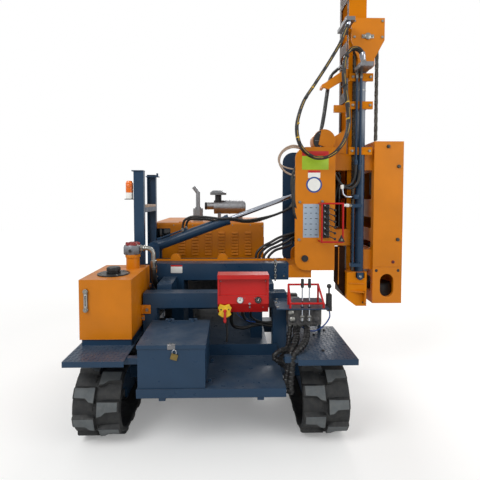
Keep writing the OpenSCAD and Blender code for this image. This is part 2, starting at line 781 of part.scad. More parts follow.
shelf_x0 = 424;
shelf_x1 = 777;
shelf_y0 = 240;
shelf_z = 842;
module valve_shelf() {
    color(slate) {
        difference() {
            block([shelf_x0, shelf_y0, shelf_z - 8], [shelf_x1, lower_y, shelf_z]);
            // slots for the levers
            for (x = lever_x)
                block([x - lever_r - 4, lever_y - 16, shelf_z - 9], [x + lever_r + 4, lever_y + 22, shelf_z + 1]);
        }
        for (x = [shelf_x0 + 110, shelf_x1 - 20])
            block([x, lower_y - 40, fender_z], [x + 16, lower_y - 2, shelf_z - 8]);
    }
}
valve_y = shelf_y0 + 90;
valve_x = [shelf_x0 + 81, shelf_x0 + 311];
valve_z = [716, shelf_z - 8 - seat];
lever_x = [600, 648];
lever_y = shelf_y0 + 32;
lever_r = 6;
grip_top = 1036;
module travel_valve() {
    link_z = valve_z[0] + 62;
    color(steel) {
        block([valve_x[0], valve_y - 48, valve_z[0]], [valve_x[1], valve_y + 48, valve_z[1]]);
        for (x = [valve_x[0] + 30, lever_x[0], lever_x[1], valve_x[1] - 35])
            bar_y([x, valve_y - 58, link_z - 22], 17, 12);
    }
    // levers up through the shelf, each on a link from its spool
    for (x = lever_x) {
        color(steel) {
            block([x - 8, lever_y - 8, link_z - 34], [x + 8, valve_y - 47, link_z - 12]);
            bar_x([x - 14, lever_y, link_z], 9, 28);
            bar_z([x, lever_y, link_z - 30], lever_r, grip_top - 60 - link_z + 31);
        }
        color(black) bar_z([x, lever_y, grip_top - 60], 11, 60);
    }
}
guard_r = 7;
module lever_guard() {
    x0 = 516;
    x1 = 740;
    top = 982;
    low = 874;
    front = shelf_y0 + 10;
    back = shelf_y0 + 100;
    color(red) {
        tube([[x0, back, shelf_z + seat], [x0, back, top], [x1 - 18, back, top], [x1 - 18, back, shelf_z + seat]], guard_r);
        tube([[x0, front, shelf_z + seat], [x0, front, low], [x1, front, low], [x1, front, shelf_z + seat]], guard_r);
        rod([x0, front, low], [x0, back, top], guard_r);
        rod([x1, front, low], [x1 - 18, back, top], guard_r);
    }
}
module throttle_lever() {
    x = shelf_x1 + 17;
    y = shelf_y0 + 80;
    ball_z = 974;
    color(black) {
        block([shelf_x1 + seat, y - 20, shelf_z - 30], [shelf_x1 + 32, y + 20, shelf_z + 78]);
        bar_z([x, y, shelf_z + 78], 6, ball_z - shelf_z - 78);
        translate([x, y, ball_z]) sphere(r = 16, $fn = fine);
    }
}

// Tilt cylinder
tilt_rise = atan2(tilt_eye_z - tilt_base_z, tilt_eye_x - tilt_base_x);
eye_half = tilt_barrel_r + 2;
tilt_len = norm([tilt_eye_z - tilt_base_z, tilt_eye_x - tilt_base_x]);
module along_tilt() {
    translate([tilt_base_x, tilt_y, tilt_base_z]) rotate([0, -tilt_rise, 0]) children();
}
bore_start = 34;
gland_t = 20;
piston_t = 12;
piston_x = bore_start + 610;
module tilt_barrel() {
    pipe_h = tilt_barrel_r + 11;
    pipe_end = 300;
    color(slate)
    along_tilt() {
        difference() {
            union() {
                bar_y([0, -tilt_barrel_r, 0], 48, 2 * tilt_barrel_r);
                bar_x([30, 0, 0], tilt_barrel_r, tilt_barrel_l - 30);
                // gland nut
                bar_x([tilt_barrel_l - 34, 0, 0], tilt_barrel_r + 4, 34);
                // ports for the pipe that runs along the top
                for (x = [62, pipe_end])
                    block([x - 18, -16, tilt_barrel_r - 12], [x + 18, 16, pipe_h + 12]);
                rod([62, 0, pipe_h], [pipe_end, 0, pipe_h], 8);
            }
            bar_y([0, -tilt_barrel_r - 1, 0], 25 + run_fit, 2 * tilt_barrel_r + 2);
            bar_x([tilt_barrel_l - gland_t - 1, 0, 0], tilt_rod_r + 6, gland_t + 2);
            bar_x([bore_start, 0, 0], tilt_barrel_r - 9, tilt_barrel_l - gland_t - bore_start);
        }
    }
}
rod_eye_r = 40;
module tilt_rod() {
    color(chrome)
    along_tilt()
    difference() {
        union() {
            bar_x([piston_x, 0, 0], tilt_rod_r, tilt_len - piston_x - 30);
            bar_x([piston_x, 0, 0], tilt_barrel_r - 9 - seat, piston_t);
            bar_y([tilt_len, -eye_half, 0], rod_eye_r, 2 * eye_half);
        }
        bar_y([tilt_len, -eye_half - 1, 0], 22, 2 * eye_half + 2);
    }
}

// Cradle: cheeks, box between them and the claws that hold the mast
corner_r = 90;
top_r = 95;
drum_x = 889;
drum_z = cheek_top + 56;
drum_r = 92;
module cheek_shape(x0) {
    difference() {
        union() {
            translate([x0 + corner_r, pivot_z - 11]) circle(r = corner_r, $fn = fine);
            translate([x0 + corner_r, pivot_z - 11 - corner_r]) square([cheek_x1 - x0 - corner_r, corner_r]);
            translate([x0, pivot_z - 11]) square([cheek_x1 - x0, cheek_top - top_r - pivot_z + 11]);
            translate([x0 + top_r, cheek_top - top_r]) circle(r = top_r, $fn = fine);
            translate([x0 + top_r, cheek_top - top_r - 1]) square([cheek_x1 - x0 - top_r, top_r + 1]);
        }
        translate([pivot_x, pivot_z]) circle(r = pivot_r + run_fit, $fn = fine);
    }
}
module front_cheek() {
    color(orange) plate_y(cheek_y, cheek_t) cheek_shape(cheek_x0);
}
module rear_cheek() {
    color(slate) plate_y(rear_cheek_y, cheek_t) cheek_shape(rear_cheek_x0);
}
claw_z = [pivot_z + 95, cheek_top - 185];
module cradle() {
    web = 12;
    x0 = cheek_x1 - 40;
    color(orange) {
        block([cheek_x1 - web, cheek_y + cheek_t, claw_z[0]], [cheek_x1, rear_cheek_y, cheek_top]);
        block([x0 - 60, cheek_y + cheek_t, cheek_top - 30], [cheek_x1 - web, rear_cheek_y, cheek_top]);
        for (z = claw_z) claw(z);
        // hose drum behind the top of the front cheek, its hub open in front
        difference() {
            bar_y([drum_x, cheek_y + cheek_t + 20, drum_z], drum_r, 110);
            bar_y([drum_x - 20, cheek_y + cheek_t + 19, drum_z], 52, 60);
        }
        // gusset that rises towards the mast
        plate_y(mast_y - slide_gap - 21, 12)
            polygon([[drum_x + 30, cheek_top - 31], [cheek_x1 - 10, cheek_top + 85], [mast_x - 24, cheek_top + 162],
                     [mast_x - 12, cheek_top + 150], [mast_x - 14, cheek_top - 46], [cheek_x1 - 11, cheek_top - 46]]);
    }
    // lugs for the rod of the tilt cylinder
    color(slate)
    for (s = [-1, 1])
        plate_y(tilt_y + s * (tilt_barrel_r + 14) - 8, 16)
        difference() {
            hull() {
                translate([tilt_eye_x, tilt_eye_z]) circle(r = 48, $fn = 32);
                translate([cheek_x1 - web - 20, tilt_eye_z - 60]) square([20, 160]);
            }
            translate([tilt_eye_x, tilt_eye_z]) circle(r = 22 + run_fit, $fn = fine);
        }
}
module claw(z) {
    h = 140;
    lip = 20;
    y0 = mast_y - slide_gap - lip;
    y1 = mast_y1 + slide_gap + lip;
    block([cheek_x1, y0, z], [mast_x - slide_gap, y1, z + h]);
    block([mast_x - slide_gap, y0, z], [mast_x + 30, y0 + lip, z + h]);
    block([mast_x - slide_gap, y1 - lip, z], [mast_x + 30, y1, z + h]);
}
module tilt_pin() {
    color(steel) {
        bar_y([pivot_x, cheek_y - 10, pivot_z], pivot_r, rear_cheek_y + cheek_t + 20 - cheek_y);
        for (y = [cheek_y + cheek_t, ear_y[1] + 40])
            difference() {
                bar_y([pivot_x, y + seat, pivot_z], 45, 20 - 2 * seat);
                bar_y([pivot_x, y, pivot_z], pivot_r - 1, 20);
            }
    }
}

mv_x = 868;
mv_w = 50;
mv_z = [1254, 1532];
spool_count = 6;
module mast_valve() {
    pitch = (mv_z[1] - mv_z[0]) / spool_count;
    front = cheek_y - 52;
    color(black) {
        block([mv_x, front, mv_z[0]], [mv_x + mv_w, cheek_y - seat, mv_z[1]]);
        for (i = [0:spool_count - 1]) {
            z = mv_z[0] + (i + 0.5) * pitch;
            bar_y([mv_x + mv_w / 2, front - 14, z], 17, 15);
            rod([mv_x + mv_w / 2, front - 10, z], [mv_x + mv_w + 34, front - 50, z - 26], 4);
            translate([mv_x + mv_w + 34, front - 50, z - 26]) sphere(r = 11, $fn = fine);
        }
    }
}
module valve_guard() {
    y = cheek_y - 104;
    x0 = mv_x - 22;
    x1 = mv_x + 148;
    z0 = mv_z[0] - 28;
    z1 = mv_z[1] + 4;
    color(red) {
        tube([[x0, cheek_y - seat, z0], [x0, y, z0], [x1, y, z0], [x1, y, z1], [x0, y, z1], [x0, cheek_y - seat, z1]], 7);
        rod([x0, y, z0], [x0, y, z1], 7);
    }
}

// Mast: two channel rails, rungs and a foot that carries the lift cylinder
module rail(y, open_side) {
    difference() {
        block([mast_x, y, mast_z + foot_h], [mast_x + mast_w, y + rail_d, mast_top]);
        block([mast_x + rail_t, y + (open_side > 0 ? rail_t : -1), mast_z + foot_h - 1],
              [mast_x + mast_w - rail_t, y + rail_d + (open_side > 0 ? 1 : -rail_t), mast_top + 1]);
    }
}
rung_pitch = 420;
module mast() {
    color(orange) {
        rail(mast_y, 1);
        rail(mast_y1 - rail_d, -1);
        for (z = [mast_z + foot_h + 200 : rung_pitch : mast_top - 40])
            block([mast_x, mast_y + rail_d, z], [mast_x + 10, mast_y1 - rail_d, z + 90]);
        block([mast_x, mast_y + rail_d, mast_top - 60], [mast_x + 10, mast_y1 - rail_d, mast_top]);
        // foot
        difference() {
            plate_y(lift_y - lift_r - 6, mast_y1 - lift_y + lift_r + 6)
                polygon([[mast_x - 20, mast_z + foot_h], [mast_x - 20, mast_z + 60], [mast_x + 60, mast_z],
                         [mast_x + mast_w, mast_z], [mast_x + mast_w, mast_z + foot_h]]);
            block([mast_x + 12, mast_y + 20, mast_z + 90], [mast_x + mast_w + 1, mast_y1 - 20, mast_z + foot_h + 1]);
            // seat of the lift cylinder, open in front
            bar_z([lift_x, lift_y, lift_z], lift_r + seat, mast_z + foot_h);
            block([lift_x - lift_r - seat, lift_y - lift_r - 7, lift_z], [lift_x + lift_r + seat, lift_y, mast_z + foot_h + 1]);
        }
        // clamps round the lift cylinder, fixed to the front rail
        for (z = clamp_z)
            difference() {
                union() {
                    block([lift_x - lift_r - 4, lift_y - lift_r - 9, z], [lift_x + lift_r + 4, mast_y + 1, z + clamp_h]);
                    block([mast_x - 14, lift_y - lift_r - 9, z], [lift_x + 85, lift_y - lift_r + 11, z + clamp_h]);
                }
                bar_z([lift_x, lift_y, z - 1], lift_r + seat, clamp_h + 2);
            }
    }
}
lift_z = 907;
clamp_z = [1940, 2316, 2545];
clamp_h = 62;
module lift_barrel() {
    color(slate)
    difference() {
        union() {
            bar_z([lift_x, lift_y, lift_z + seat], lift_r, lift_top - lift_z);
            // long port pipe with its end blocks, in front of the clamps
            for (z = side_pipe_z)
                block([side_pipe_x - 14, side_pipe_y - 12, z - 14], [lift_x, lift_y - lift_r + 13, z + 14]);
            bar_z([side_pipe_x, side_pipe_y, side_pipe_z[0]], 9, side_pipe_z[1] - side_pipe_z[0]);
        }
        bar_z([lift_x, lift_y, lift_z + 60], lift_rod_r + 4, lift_top);
    }
}
side_pipe_x = mast_x + 22;
side_pipe_y = lift_y - lift_r - 22;
side_pipe_z = [1020, 1516];

// Head on the lift rod: a fork with the chain sheave, in front of the front rail
sheave_x = lift_x + 35;
sheave_w = 48;
head_top = sheave_z + 150;
fork_t = 12;
chain_t = 26;
chain_w = 38;
module lift_head() {
    y0 = lift_y - sheave_w / 2 - 6 - fork_t;
    y1 = lift_y + sheave_w / 2 + 5 + fork_t;
    z0 = lift_top + 8;
    color(chrome)
    bar_z([lift_x, lift_y, mast_z + foot_h + 200], lift_rod_r, z0 - mast_z - foot_h - 199);
    color(orange) {
        block([lift_x - 40, y0, z0], [sheave_x + 60, y1, z0 + 60]);
        for (y = [y0, y1 - fork_t])
            plate_y(y, fork_t)
                polygon([[lift_x - 40, z0 + 59], [sheave_x + 60, z0 + 59], [sheave_x + 140, sheave_z - 30],
                         [sheave_x + 140, head_top], [lift_x - 100, head_top], [lift_x - 100, sheave_z - 30]]);
        // bridge over the sheave
        block([lift_x - 100, y0, head_top - 22], [sheave_x + 140, y1, head_top]);
    }
    color(steel) {
        difference() {
            bar_y([sheave_x, lift_y - sheave_w / 2, sheave_z], sheave_r, sheave_w);
            difference() {
                bar_y([sheave_x, lift_y - chain_w / 2 - 1, sheave_z], sheave_r + 1, chain_w + 2);
                bar_y([sheave_x, lift_y - chain_w / 2 - 2, sheave_z], sheave_r - chain_t, chain_w + 4);
            }
        }
        bar_y([sheave_x, y0 - 6, sheave_z], 22, y1 - y0 + 9);
    }
}
module chain_fall() {
    x = sheave_x + sheave_r - chain_t + seat;
    color(black)
    block([x, lift_y - chain_w / 2, hammer_top + seat], [x + chain_t - 2, lift_y + chain_w / 2, sheave_z]);
}
module chain_tail() {
    x = sheave_x - sheave_r + chain_t - seat;
    color(black)
    block([x - chain_t + 2, lift_y - chain_w / 2, mast_z + foot_h + seat], [x, lift_y + chain_w / 2, sheave_z]);
}

// Hammer: plate housing on shoes that slide on the mast's rails
shoe_z = [mast_z + foot_h + 13, 1816];
shoe_h = 170;
// openings in the housing's left side, from bottom to top, and the latch on its right side
side_cut_z = [[hammer_z + 881, hammer_z + 1113],
              [hammer_z + 633, hammer_z + 729],
              [hammer_z + 465, hammer_z + 523]];
latch_z = [hammer_z + 963, hammer_z + 1063];
latch_w = 30;
module hammer_housing() {
    x1 = hammer_x + hammer_w;
    y1 = hammer_y + hammer_d;
    inner = hammer_t;
    color(orange)
    difference() {
        block([hammer_x, hammer_y, hammer_z + 311], [x1, y1, hammer_top]);
        block([hammer_x + inner, hammer_y + inner, hammer_z + 310], [x1 - inner, y1 - inner, hammer_top - inner]);
        for (c = side_cut_z)
            block([hammer_x - 1, hammer_y + 60, c[0]], [hammer_x + inner + 1, y1 - 60, c[1]]);
    }
    color(orange)
    for (z = shoe_z) {
        block([mast_x + mast_w + slide_gap, mast_y - 30, z], [hammer_x, y1 - 5, z + shoe_h]);
        block([mast_x + mast_w - 30, mast_y1 + slide_gap, z], [mast_x + mast_w + slide_gap, mast_y1 + 13, z + shoe_h]);
        block([mast_x + mast_w - 10, mast_y - 30, z], [mast_x + mast_w + slide_gap, mast_y - slide_gap, z + shoe_h]);
    }
    color(steel)
    block([x1, hammer_y + 60, latch_z[0]], [x1 + latch_reach, hammer_y + 60 + latch_w, latch_z[1]]);
}
foot_bolt_x = 186;
foot_bolt_r = 13;
module hammer_foot() {
    x1 = hammer_x + hammer_w;
    y1 = hammer_y + hammer_d;
    color(orange)
    difference() {
        block([hammer_x, hammer_y, hammer_z], [x1, y1, hammer_z + 311]);
        block([hammer_x + 30, hammer_y + 30, hammer_z - 1], [x1 - 30, y1 - 30, hammer_z + 250]);
        // opening in the left side
        block([hammer_x - 1, hammer_y + 50, hammer_z + 90], [hammer_x + 31, y1 - 60, hammer_z + 220]);
        plate_y(hammer_y - 1, 40)
            hull()
                for (z = [hammer_z + 112, hammer_z + 192])
                    translate([hammer_x + hammer_w / 2 - 3, z]) circle(r = 58, $fn = 32);
        for (s = [-1, 1])
            bar_y([hammer_x + hammer_w / 2 + s * foot_bolt_x / 2, hammer_y - 1, hammer_z + 279], foot_bolt_r, 40);
    }
}

// Hoses: a tube swept along points
function unit(v) = v / norm(v);
function path_dir(p, i) = unit(p[min(i + 1, len(p) - 1)] - p[max(i - 1, 0)]);
module hose(path, r, sides = 8) {
    n = len(path);
    pts = [for (i = [0:n - 1])
        let (d = path_dir(path, i), u = unit(cross(d, [0, 1, 0])), v = cross(d, u))
        for (k = [0:sides - 1]) path[i] + r * (cos(k * 360 / sides) * u + sin(k * 360 / sides) * v)];
    faces = concat(
        [[for (k = [0:sides - 1]) k]],
        [for (i = [0:n - 2], k = [0:sides - 1])
            let (a = i * sides + k, b = i * sides + (k + 1) % sides)
            [a, a + sides, b + sides, b]],
        [[for (k = [sides - 1:-1:0]) (n - 1) * sides + k]]);
    polyhedron(points = pts, faces = faces);
}
loop_y = [777, 748];
loop_r = 13;
loop_path = [[1044, 2956], [1010, 2880], [973, 2790], [878, 2631], [775, 2472], [696, 2350], [650, 2215],
             [640, 2115], [660, 2020], [711, 1945], [795, 1900], [886, 1908], [965, 1960], [1025, 2050],
             [1052, 2160], [1048, 2280], [1030, 2395], [1014, 2510], [1010, 2600], [1025, 2694],
             [1068, 2752], [1120, 2755], [1155, 2715], [1165, 2650]];
module loop_hose(y) {
    color(black) hose([for (p = loop_path) [p[0], y, p[1]]], loop_r);
}
module loop_hose_front() { loop_hose(loop_y[1]); }
module loop_hose_back() { loop_hose(loop_y[0]); }

// Fittings that hold both ends of the hoses: one arm on the mast, one on the lift cylinder
module hose_arms() {
    first = loop_path[0];
    last = loop_path[len(loop_path) - 1];
    y0 = loop_y[1] - 22;
    // height that a slanted hose end takes beside its middle
    rise = end_rise(first, loop_path[1]) + seat;
    drop = end_rise(last, loop_path[len(loop_path) - 2]) + seat;
    color(slate) {
        block([first[0] - 30, y0, first[1] + rise], [first[0] + 40, mast_y - seat, first[1] + rise + 30]);
        block([first[0] + 20, mast_y - seat, first[1] + rise], [mast_x - seat, mast_y + 20, first[1] + rise + 30]);
        block([last[0] - 30, y0, last[1] - drop - 34], [lift_x + 30, lift_y - lift_r - 2, last[1] - drop]);
    }
}
function end_rise(p, q) = loop_r * abs(p[0] - q[0]) / norm(p - q);

home() track_left();
home() track_right();
home() track_frame_left();
home() track_frame_right();
home() track_wheels();
home() chassis();
home() front_deck();
home() fender_left();
home() fender_right();
home() toolbox();
home() toolbox_lid();
home() lower_portal();
home() upper_frame();
home() pivot_block();
home() mast_rest();
home() beacon();
home() oil_tank();
home() return_filter();
home() suction_pipe();
home() engine_hood();
home() engine_block();
home() air_cleaner();
home() exhaust_pipe();
home() control_box();
home() valve_shelf();
home() travel_valve();
home() lever_guard();
home() throttle_lever();
home() tilt_barrel();
home() tilt_rod();
home() front_cheek();
home() rear_cheek();
home() cradle();
home() tilt_pin();
home() mast_valve();
home() valve_guard();
home() mast();
home() lift_barrel();
home() lift_head();
home() chain_fall();
home() chain_tail();
home() hammer_housing();
home() hammer_foot();
home() loop_hose_front();
home() loop_hose_back();
home() hose_arms();
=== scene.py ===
import json
import math

import bmesh
import bpy
from mathutils import Matrix, Vector


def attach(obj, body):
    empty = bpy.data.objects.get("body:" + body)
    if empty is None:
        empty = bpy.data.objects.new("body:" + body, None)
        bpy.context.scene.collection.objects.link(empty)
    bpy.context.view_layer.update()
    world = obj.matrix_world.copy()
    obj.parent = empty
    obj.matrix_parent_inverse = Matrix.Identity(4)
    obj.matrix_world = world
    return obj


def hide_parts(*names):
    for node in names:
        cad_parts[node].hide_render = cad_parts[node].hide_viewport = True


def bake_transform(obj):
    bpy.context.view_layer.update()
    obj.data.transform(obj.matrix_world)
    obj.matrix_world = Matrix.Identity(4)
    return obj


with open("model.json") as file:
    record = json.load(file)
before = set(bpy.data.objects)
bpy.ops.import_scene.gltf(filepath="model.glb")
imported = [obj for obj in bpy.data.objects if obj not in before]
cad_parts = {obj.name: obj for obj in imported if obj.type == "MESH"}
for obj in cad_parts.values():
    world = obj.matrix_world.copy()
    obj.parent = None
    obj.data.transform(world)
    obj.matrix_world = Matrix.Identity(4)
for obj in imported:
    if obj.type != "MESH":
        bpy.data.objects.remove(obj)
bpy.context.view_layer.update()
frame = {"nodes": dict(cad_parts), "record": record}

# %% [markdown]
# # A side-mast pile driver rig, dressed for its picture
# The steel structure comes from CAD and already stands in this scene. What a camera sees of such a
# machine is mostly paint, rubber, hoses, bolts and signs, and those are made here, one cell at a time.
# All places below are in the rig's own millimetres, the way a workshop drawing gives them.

MIDDLE = Vector((347.5, 1145.0, 0.0))   # middle of the footprint, from the corner the drawing measures from
LEFT, RIGHT, FRONT, BACK, UP, DOWN = (-1, 0, 0), (1, 0, 0), (0, -1, 0), (0, 1, 0), (0, 0, 1), (0, 0, -1)


def at(x, y, z):
    """A place on the drawing, in millimetres, as a point of the scene in metres."""
    return (Vector((x, y, z)) - MIDDLE) / 1000


# %% [markdown]
# ## Camera
# The picture is taken from a standing person's eye height, square to the front, with a wide lens.
# The place was fitted to the straight edges of the tracks, the tank and the mast.

# %% Camera
camera = bpy.data.objects.new("Camera", bpy.data.cameras.new("Camera"))
camera.data.sensor_width = 36
camera.data.lens = 28.02
camera.data.shift_x = 0.001
camera.data.shift_y = -0.0552
camera.location = (-0.2213, -3.3628, 1.5832)
LOOKS_DOWN, LOOKS_RIGHT = 2.427, 1.135      # degrees
camera.rotation_euler = (math.radians(90 - LOOKS_DOWN), 0, math.radians(-LOOKS_RIGHT))
bpy.context.collection.objects.link(camera)
bpy.context.scene.camera = camera
bpy.context.scene.view_settings.view_transform = "Standard"
print("camera at", tuple(camera.location))

# %% [markdown]
# ## Node helper
# Shader trees and Geometry Nodes trees are both made of nodes and links. One small helper adds a node,
# sets its options and joins its inputs, so that each finish below stays short enough to read.


# %% Node helper
def add_node(tree, kind, inputs=None, **options):
    """Adds a node. An input is joined where a socket is given and set where a plain value is."""
    node = tree.nodes.new(kind)
    for name, value in options.items():
        setattr(node, name, value)
    for name, value in (inputs or {}).items():
        if isinstance(value, bpy.types.NodeSocket):
            tree.links.new(value, node.inputs[name])
        else:
            node.inputs[name].default_value = value
    return node


def srgb(r, g, b):
    """A colour as a paint chart gives it, turned into the linear values that shaders use."""
    return tuple((c / 12.92 if c <= 0.04045 else ((c + 0.055) / 1.055) ** 2.4) for c in (r, g, b)) + (1.0,)


# %% [markdown]
# ## Machine paint
# Thick two-pack paint on plate: a slight orange peel, clouds of fading, fine dust that settles on what
# faces up, and small chips with a darker primer. All of it reads Object coordinates, which don't slide
# when a part moves. The Bevel node rounds the light on each edge by a few millimetres, as paint does.


# %% Machine paint
def noise(tree, place, scale, detail=3.0, rough=0.55):
    """A cloudy pattern from 0 to 1."""
    return add_node(tree, "ShaderNodeTexNoise", {"Vector": place, "Scale": scale, "Detail": detail,
                                                 "Roughness": rough}).outputs["Fac"]


def ramp(tree, value, low, high, out_low=0.0, out_high=1.0):
    """Stretches a value so that low gives out_low and high gives out_high."""
    return add_node(tree, "ShaderNodeMapRange", {"Value": value, "From Min": low, "From Max": high,
                                                 "To Min": out_low, "To Max": out_high}).outputs["Result"]


def mix_colour(tree, amount, a, b):
    """A colour that goes from a to b as amount goes from 0 to 1."""
    return add_node(tree, "ShaderNodeMix", {"Factor": amount, 6: a, 7: b}, data_type="RGBA").outputs[2]


def calculate(tree, operation, a, b):
    """One Math node, such as MULTIPLY or MAXIMUM."""
    return add_node(tree, "ShaderNodeMath", {0: a, 1: b}, operation=operation).outputs[0]


def multiply(tree, a, b):
    """Two values or patterns multiplied."""
    return calculate(tree, "MULTIPLY", a, b)


def on_vectors(tree, operation, *inputs):
    """One Vector Math node, such as SUBTRACT or ABSOLUTE."""
    return add_node(tree, "ShaderNodeVectorMath", dict(enumerate(inputs)), operation=operation).outputs[0]


def soft_edges(tree, radius):
    """Normals that round the light on each edge, radius in metres."""
    return add_node(tree, "ShaderNodeBevel", {"Radius": radius}, samples=4).outputs["Normal"]


def shade(colour, factor, lift=0.0):
    """The same colour made darker, or paler by a lift."""
    return tuple(factor * c + lift for c in colour[:3]) + (1,)


def new_material(name):
    """A material with its tree, its surface shader and its Object coordinates."""
    material = bpy.data.materials.new(name)
    material.use_nodes = True
    tree = material.node_tree
    shader = tree.nodes["Principled BSDF"]
    place = tree.nodes.new("ShaderNodeTexCoord").outputs["Object"]
    return material, tree, shader, place


def facing_up(tree):
    """1 where the surface looks up, 0 where it looks sideways or down."""
    normal = tree.nodes.new("ShaderNodeTexCoord").outputs["Normal"]
    z = add_node(tree, "ShaderNodeSeparateXYZ", {"Vector": normal}).outputs["Z"]
    return ramp(tree, z, 0.55, 0.95)


def inside(tree, place, low, high):
    """1 inside a box given by two corners on the drawing, 0 outside it."""
    low, high = at(*low), at(*high)
    far = on_vectors(tree, "ABSOLUTE", on_vectors(tree, "SUBTRACT", place, (low + high) / 2))
    out = on_vectors(tree, "SUBTRACT", far, (high - low) / 2)
    x, y, z = add_node(tree, "ShaderNodeSeparateXYZ", {"Vector": out}).outputs
    most = calculate(tree, "MAXIMUM", calculate(tree, "MAXIMUM", x, y), z)
    return calculate(tree, "LESS_THAN", most, 0.0)


CHIPS = 0.12                                # from 0 to 1
PAINTED_EDGE = 0.003                        # rounding of the light, in metres


def paint(name, colour, dust=0.12, rough=0.36, shine=0.3, zones=(), painted_reflection=None):
    """Machine paint. dust is from 0 to 1.
    zones are boxes on the drawing with a colour of their own, two-tone paint on the tank, box and cradle and
    painted shade on the mast: (corner, corner, colour).
    The argument after zones gives a paler upper end, a painted reflection of a bright sky: (height where it
    begins, height where it is full, colour)."""
    material, tree, shader, place = new_material(name)
    clouds = ramp(tree, noise(tree, place, 2.2, 4), 0.35, 0.68)
    coat = mix_colour(tree, clouds, shade(colour, 0.80), colour)
    for low, high, other in zones:
        coat = mix_colour(tree, inside(tree, place, low, high), coat, other)
    # a paler upper end blended in by height: painted reflection of a bright sky
    if painted_reflection:
        height = add_node(tree, "ShaderNodeSeparateXYZ", {"Vector": place}).outputs["Z"]
        coat = mix_colour(tree, ramp(tree, height, painted_reflection[0] / 1000, painted_reflection[1] / 1000), coat, painted_reflection[2])
    speck = ramp(tree, noise(tree, place, 70, 6, 0.7), 0.74 - 0.06 * CHIPS, 0.76 - 0.04 * CHIPS)
    worn = mix_colour(tree, multiply(tree, speck, CHIPS), coat, shade(colour, 0.30, 0.02))
    film = multiply(tree, facing_up(tree), ramp(tree, noise(tree, place, 9, 5, 0.7), 0.35, 0.7, 0.25, 1.0))
    dusty = multiply(tree, film, dust)
    tree.links.new(mix_colour(tree, dusty, worn, srgb(0.60, 0.59, 0.56)), shader.inputs["Base Color"])
    sheen = ramp(tree, noise(tree, place, 16, 4), 0.3, 0.7, rough - 0.06, rough + 0.10)
    tree.links.new(sheen, shader.inputs["Roughness"])
    peel = add_node(tree, "ShaderNodeBump",
                    {"Strength": 0.12, "Distance": 0.001, "Height": noise(tree, place, 260, 2),
                     "Normal": soft_edges(tree, PAINTED_EDGE)})
    tree.links.new(peel.outputs["Normal"], shader.inputs["Normal"])
    shader.inputs["Specular IOR Level"].default_value = shine
    shader.inputs["Coat Weight"].default_value = shine / 6
    shader.inputs["Coat Roughness"].default_value = 0.12
    return material


ORANGE = srgb(0.82, 0.478, 0.0)
SLATE = srgb(0.12, 0.228, 0.33)
orange_paint = paint("orange_paint", ORANGE)
slate_paint = paint("slate_paint", SLATE, dust=0.16, rough=0.32)
red_paint = paint("red_paint", srgb(0.74, 0.07, 0.075), dust=0.08)
print("paints:", orange_paint.name, slate_paint.name, red_paint.name)

# %% [markdown]
# ## Bare metals
# Turned and ground steel shows fine lines, a hard-chromed rod is a clean mirror, and zinc-plated
# fittings are paler and duller. One function makes them all: what changes is tint, roughness and grain.


# %% Bare metals
def metal(name, colour, rough=0.3, grain=(1, 1, 1), grain_scale=120, spread=0.12, grime=0.2, edge=0.0):
    """Bare metal. grain stretches the pattern along an axis where it is below 1."""
    material, tree, shader, place = new_material(name)
    lines = add_node(tree, "ShaderNodeMapping", {"Vector": place, "Scale": grain}).outputs["Vector"]
    fine = noise(tree, lines, grain_scale, 4, 0.6)
    dirt = ramp(tree, noise(tree, place, 22, 5, 0.65), 0.50, 0.72)
    stained = mix_colour(tree, multiply(tree, dirt, grime), colour, shade(colour, 0.45))
    tree.links.new(stained, shader.inputs["Base Color"])
    sheen = ramp(tree, fine, 0.3, 0.7, rough - spread / 2, rough + spread / 2)
    tree.links.new(sheen, shader.inputs["Roughness"])
    bump = add_node(tree, "ShaderNodeBump", {"Strength": 0.06, "Distance": 0.0005, "Height": fine})
    if edge:
        tree.links.new(soft_edges(tree, edge), bump.inputs["Normal"])
    tree.links.new(bump.outputs["Normal"], shader.inputs["Normal"])
    shader.inputs["Metallic"].default_value = 1.0
    return material


steel = metal("steel", srgb(0.52, 0.52, 0.53), 0.38, grime=0.5, edge=0.0015)
bright_sheet = metal("bright_sheet", srgb(0.60, 0.60, 0.61), 0.36, grain=(0.05, 1, 1), grime=0.5)
chrome = metal("chrome", srgb(0.70, 0.72, 0.76), 0.12, spread=0.04, grime=0.05)
zinc = metal("zinc", srgb(0.60, 0.60, 0.58), 0.34, grain_scale=60, grime=0.35)
brass = metal("brass", srgb(0.52, 0.45, 0.28), 0.32, grime=0.4)
chain_steel = metal("chain_steel", srgb(0.33, 0.32, 0.30), 0.45, grime=0.8)
print("finishes so far:", len(bpy.data.materials))

# %% [markdown]
# ## Rubber, plastic, glass and cast iron
# Tracks are moulded rubber with mud and dust in every corner, hoses are smoother rubber with a cloth
# print, and small controls are moulded plastic. Each has its own roughness and fine bump.


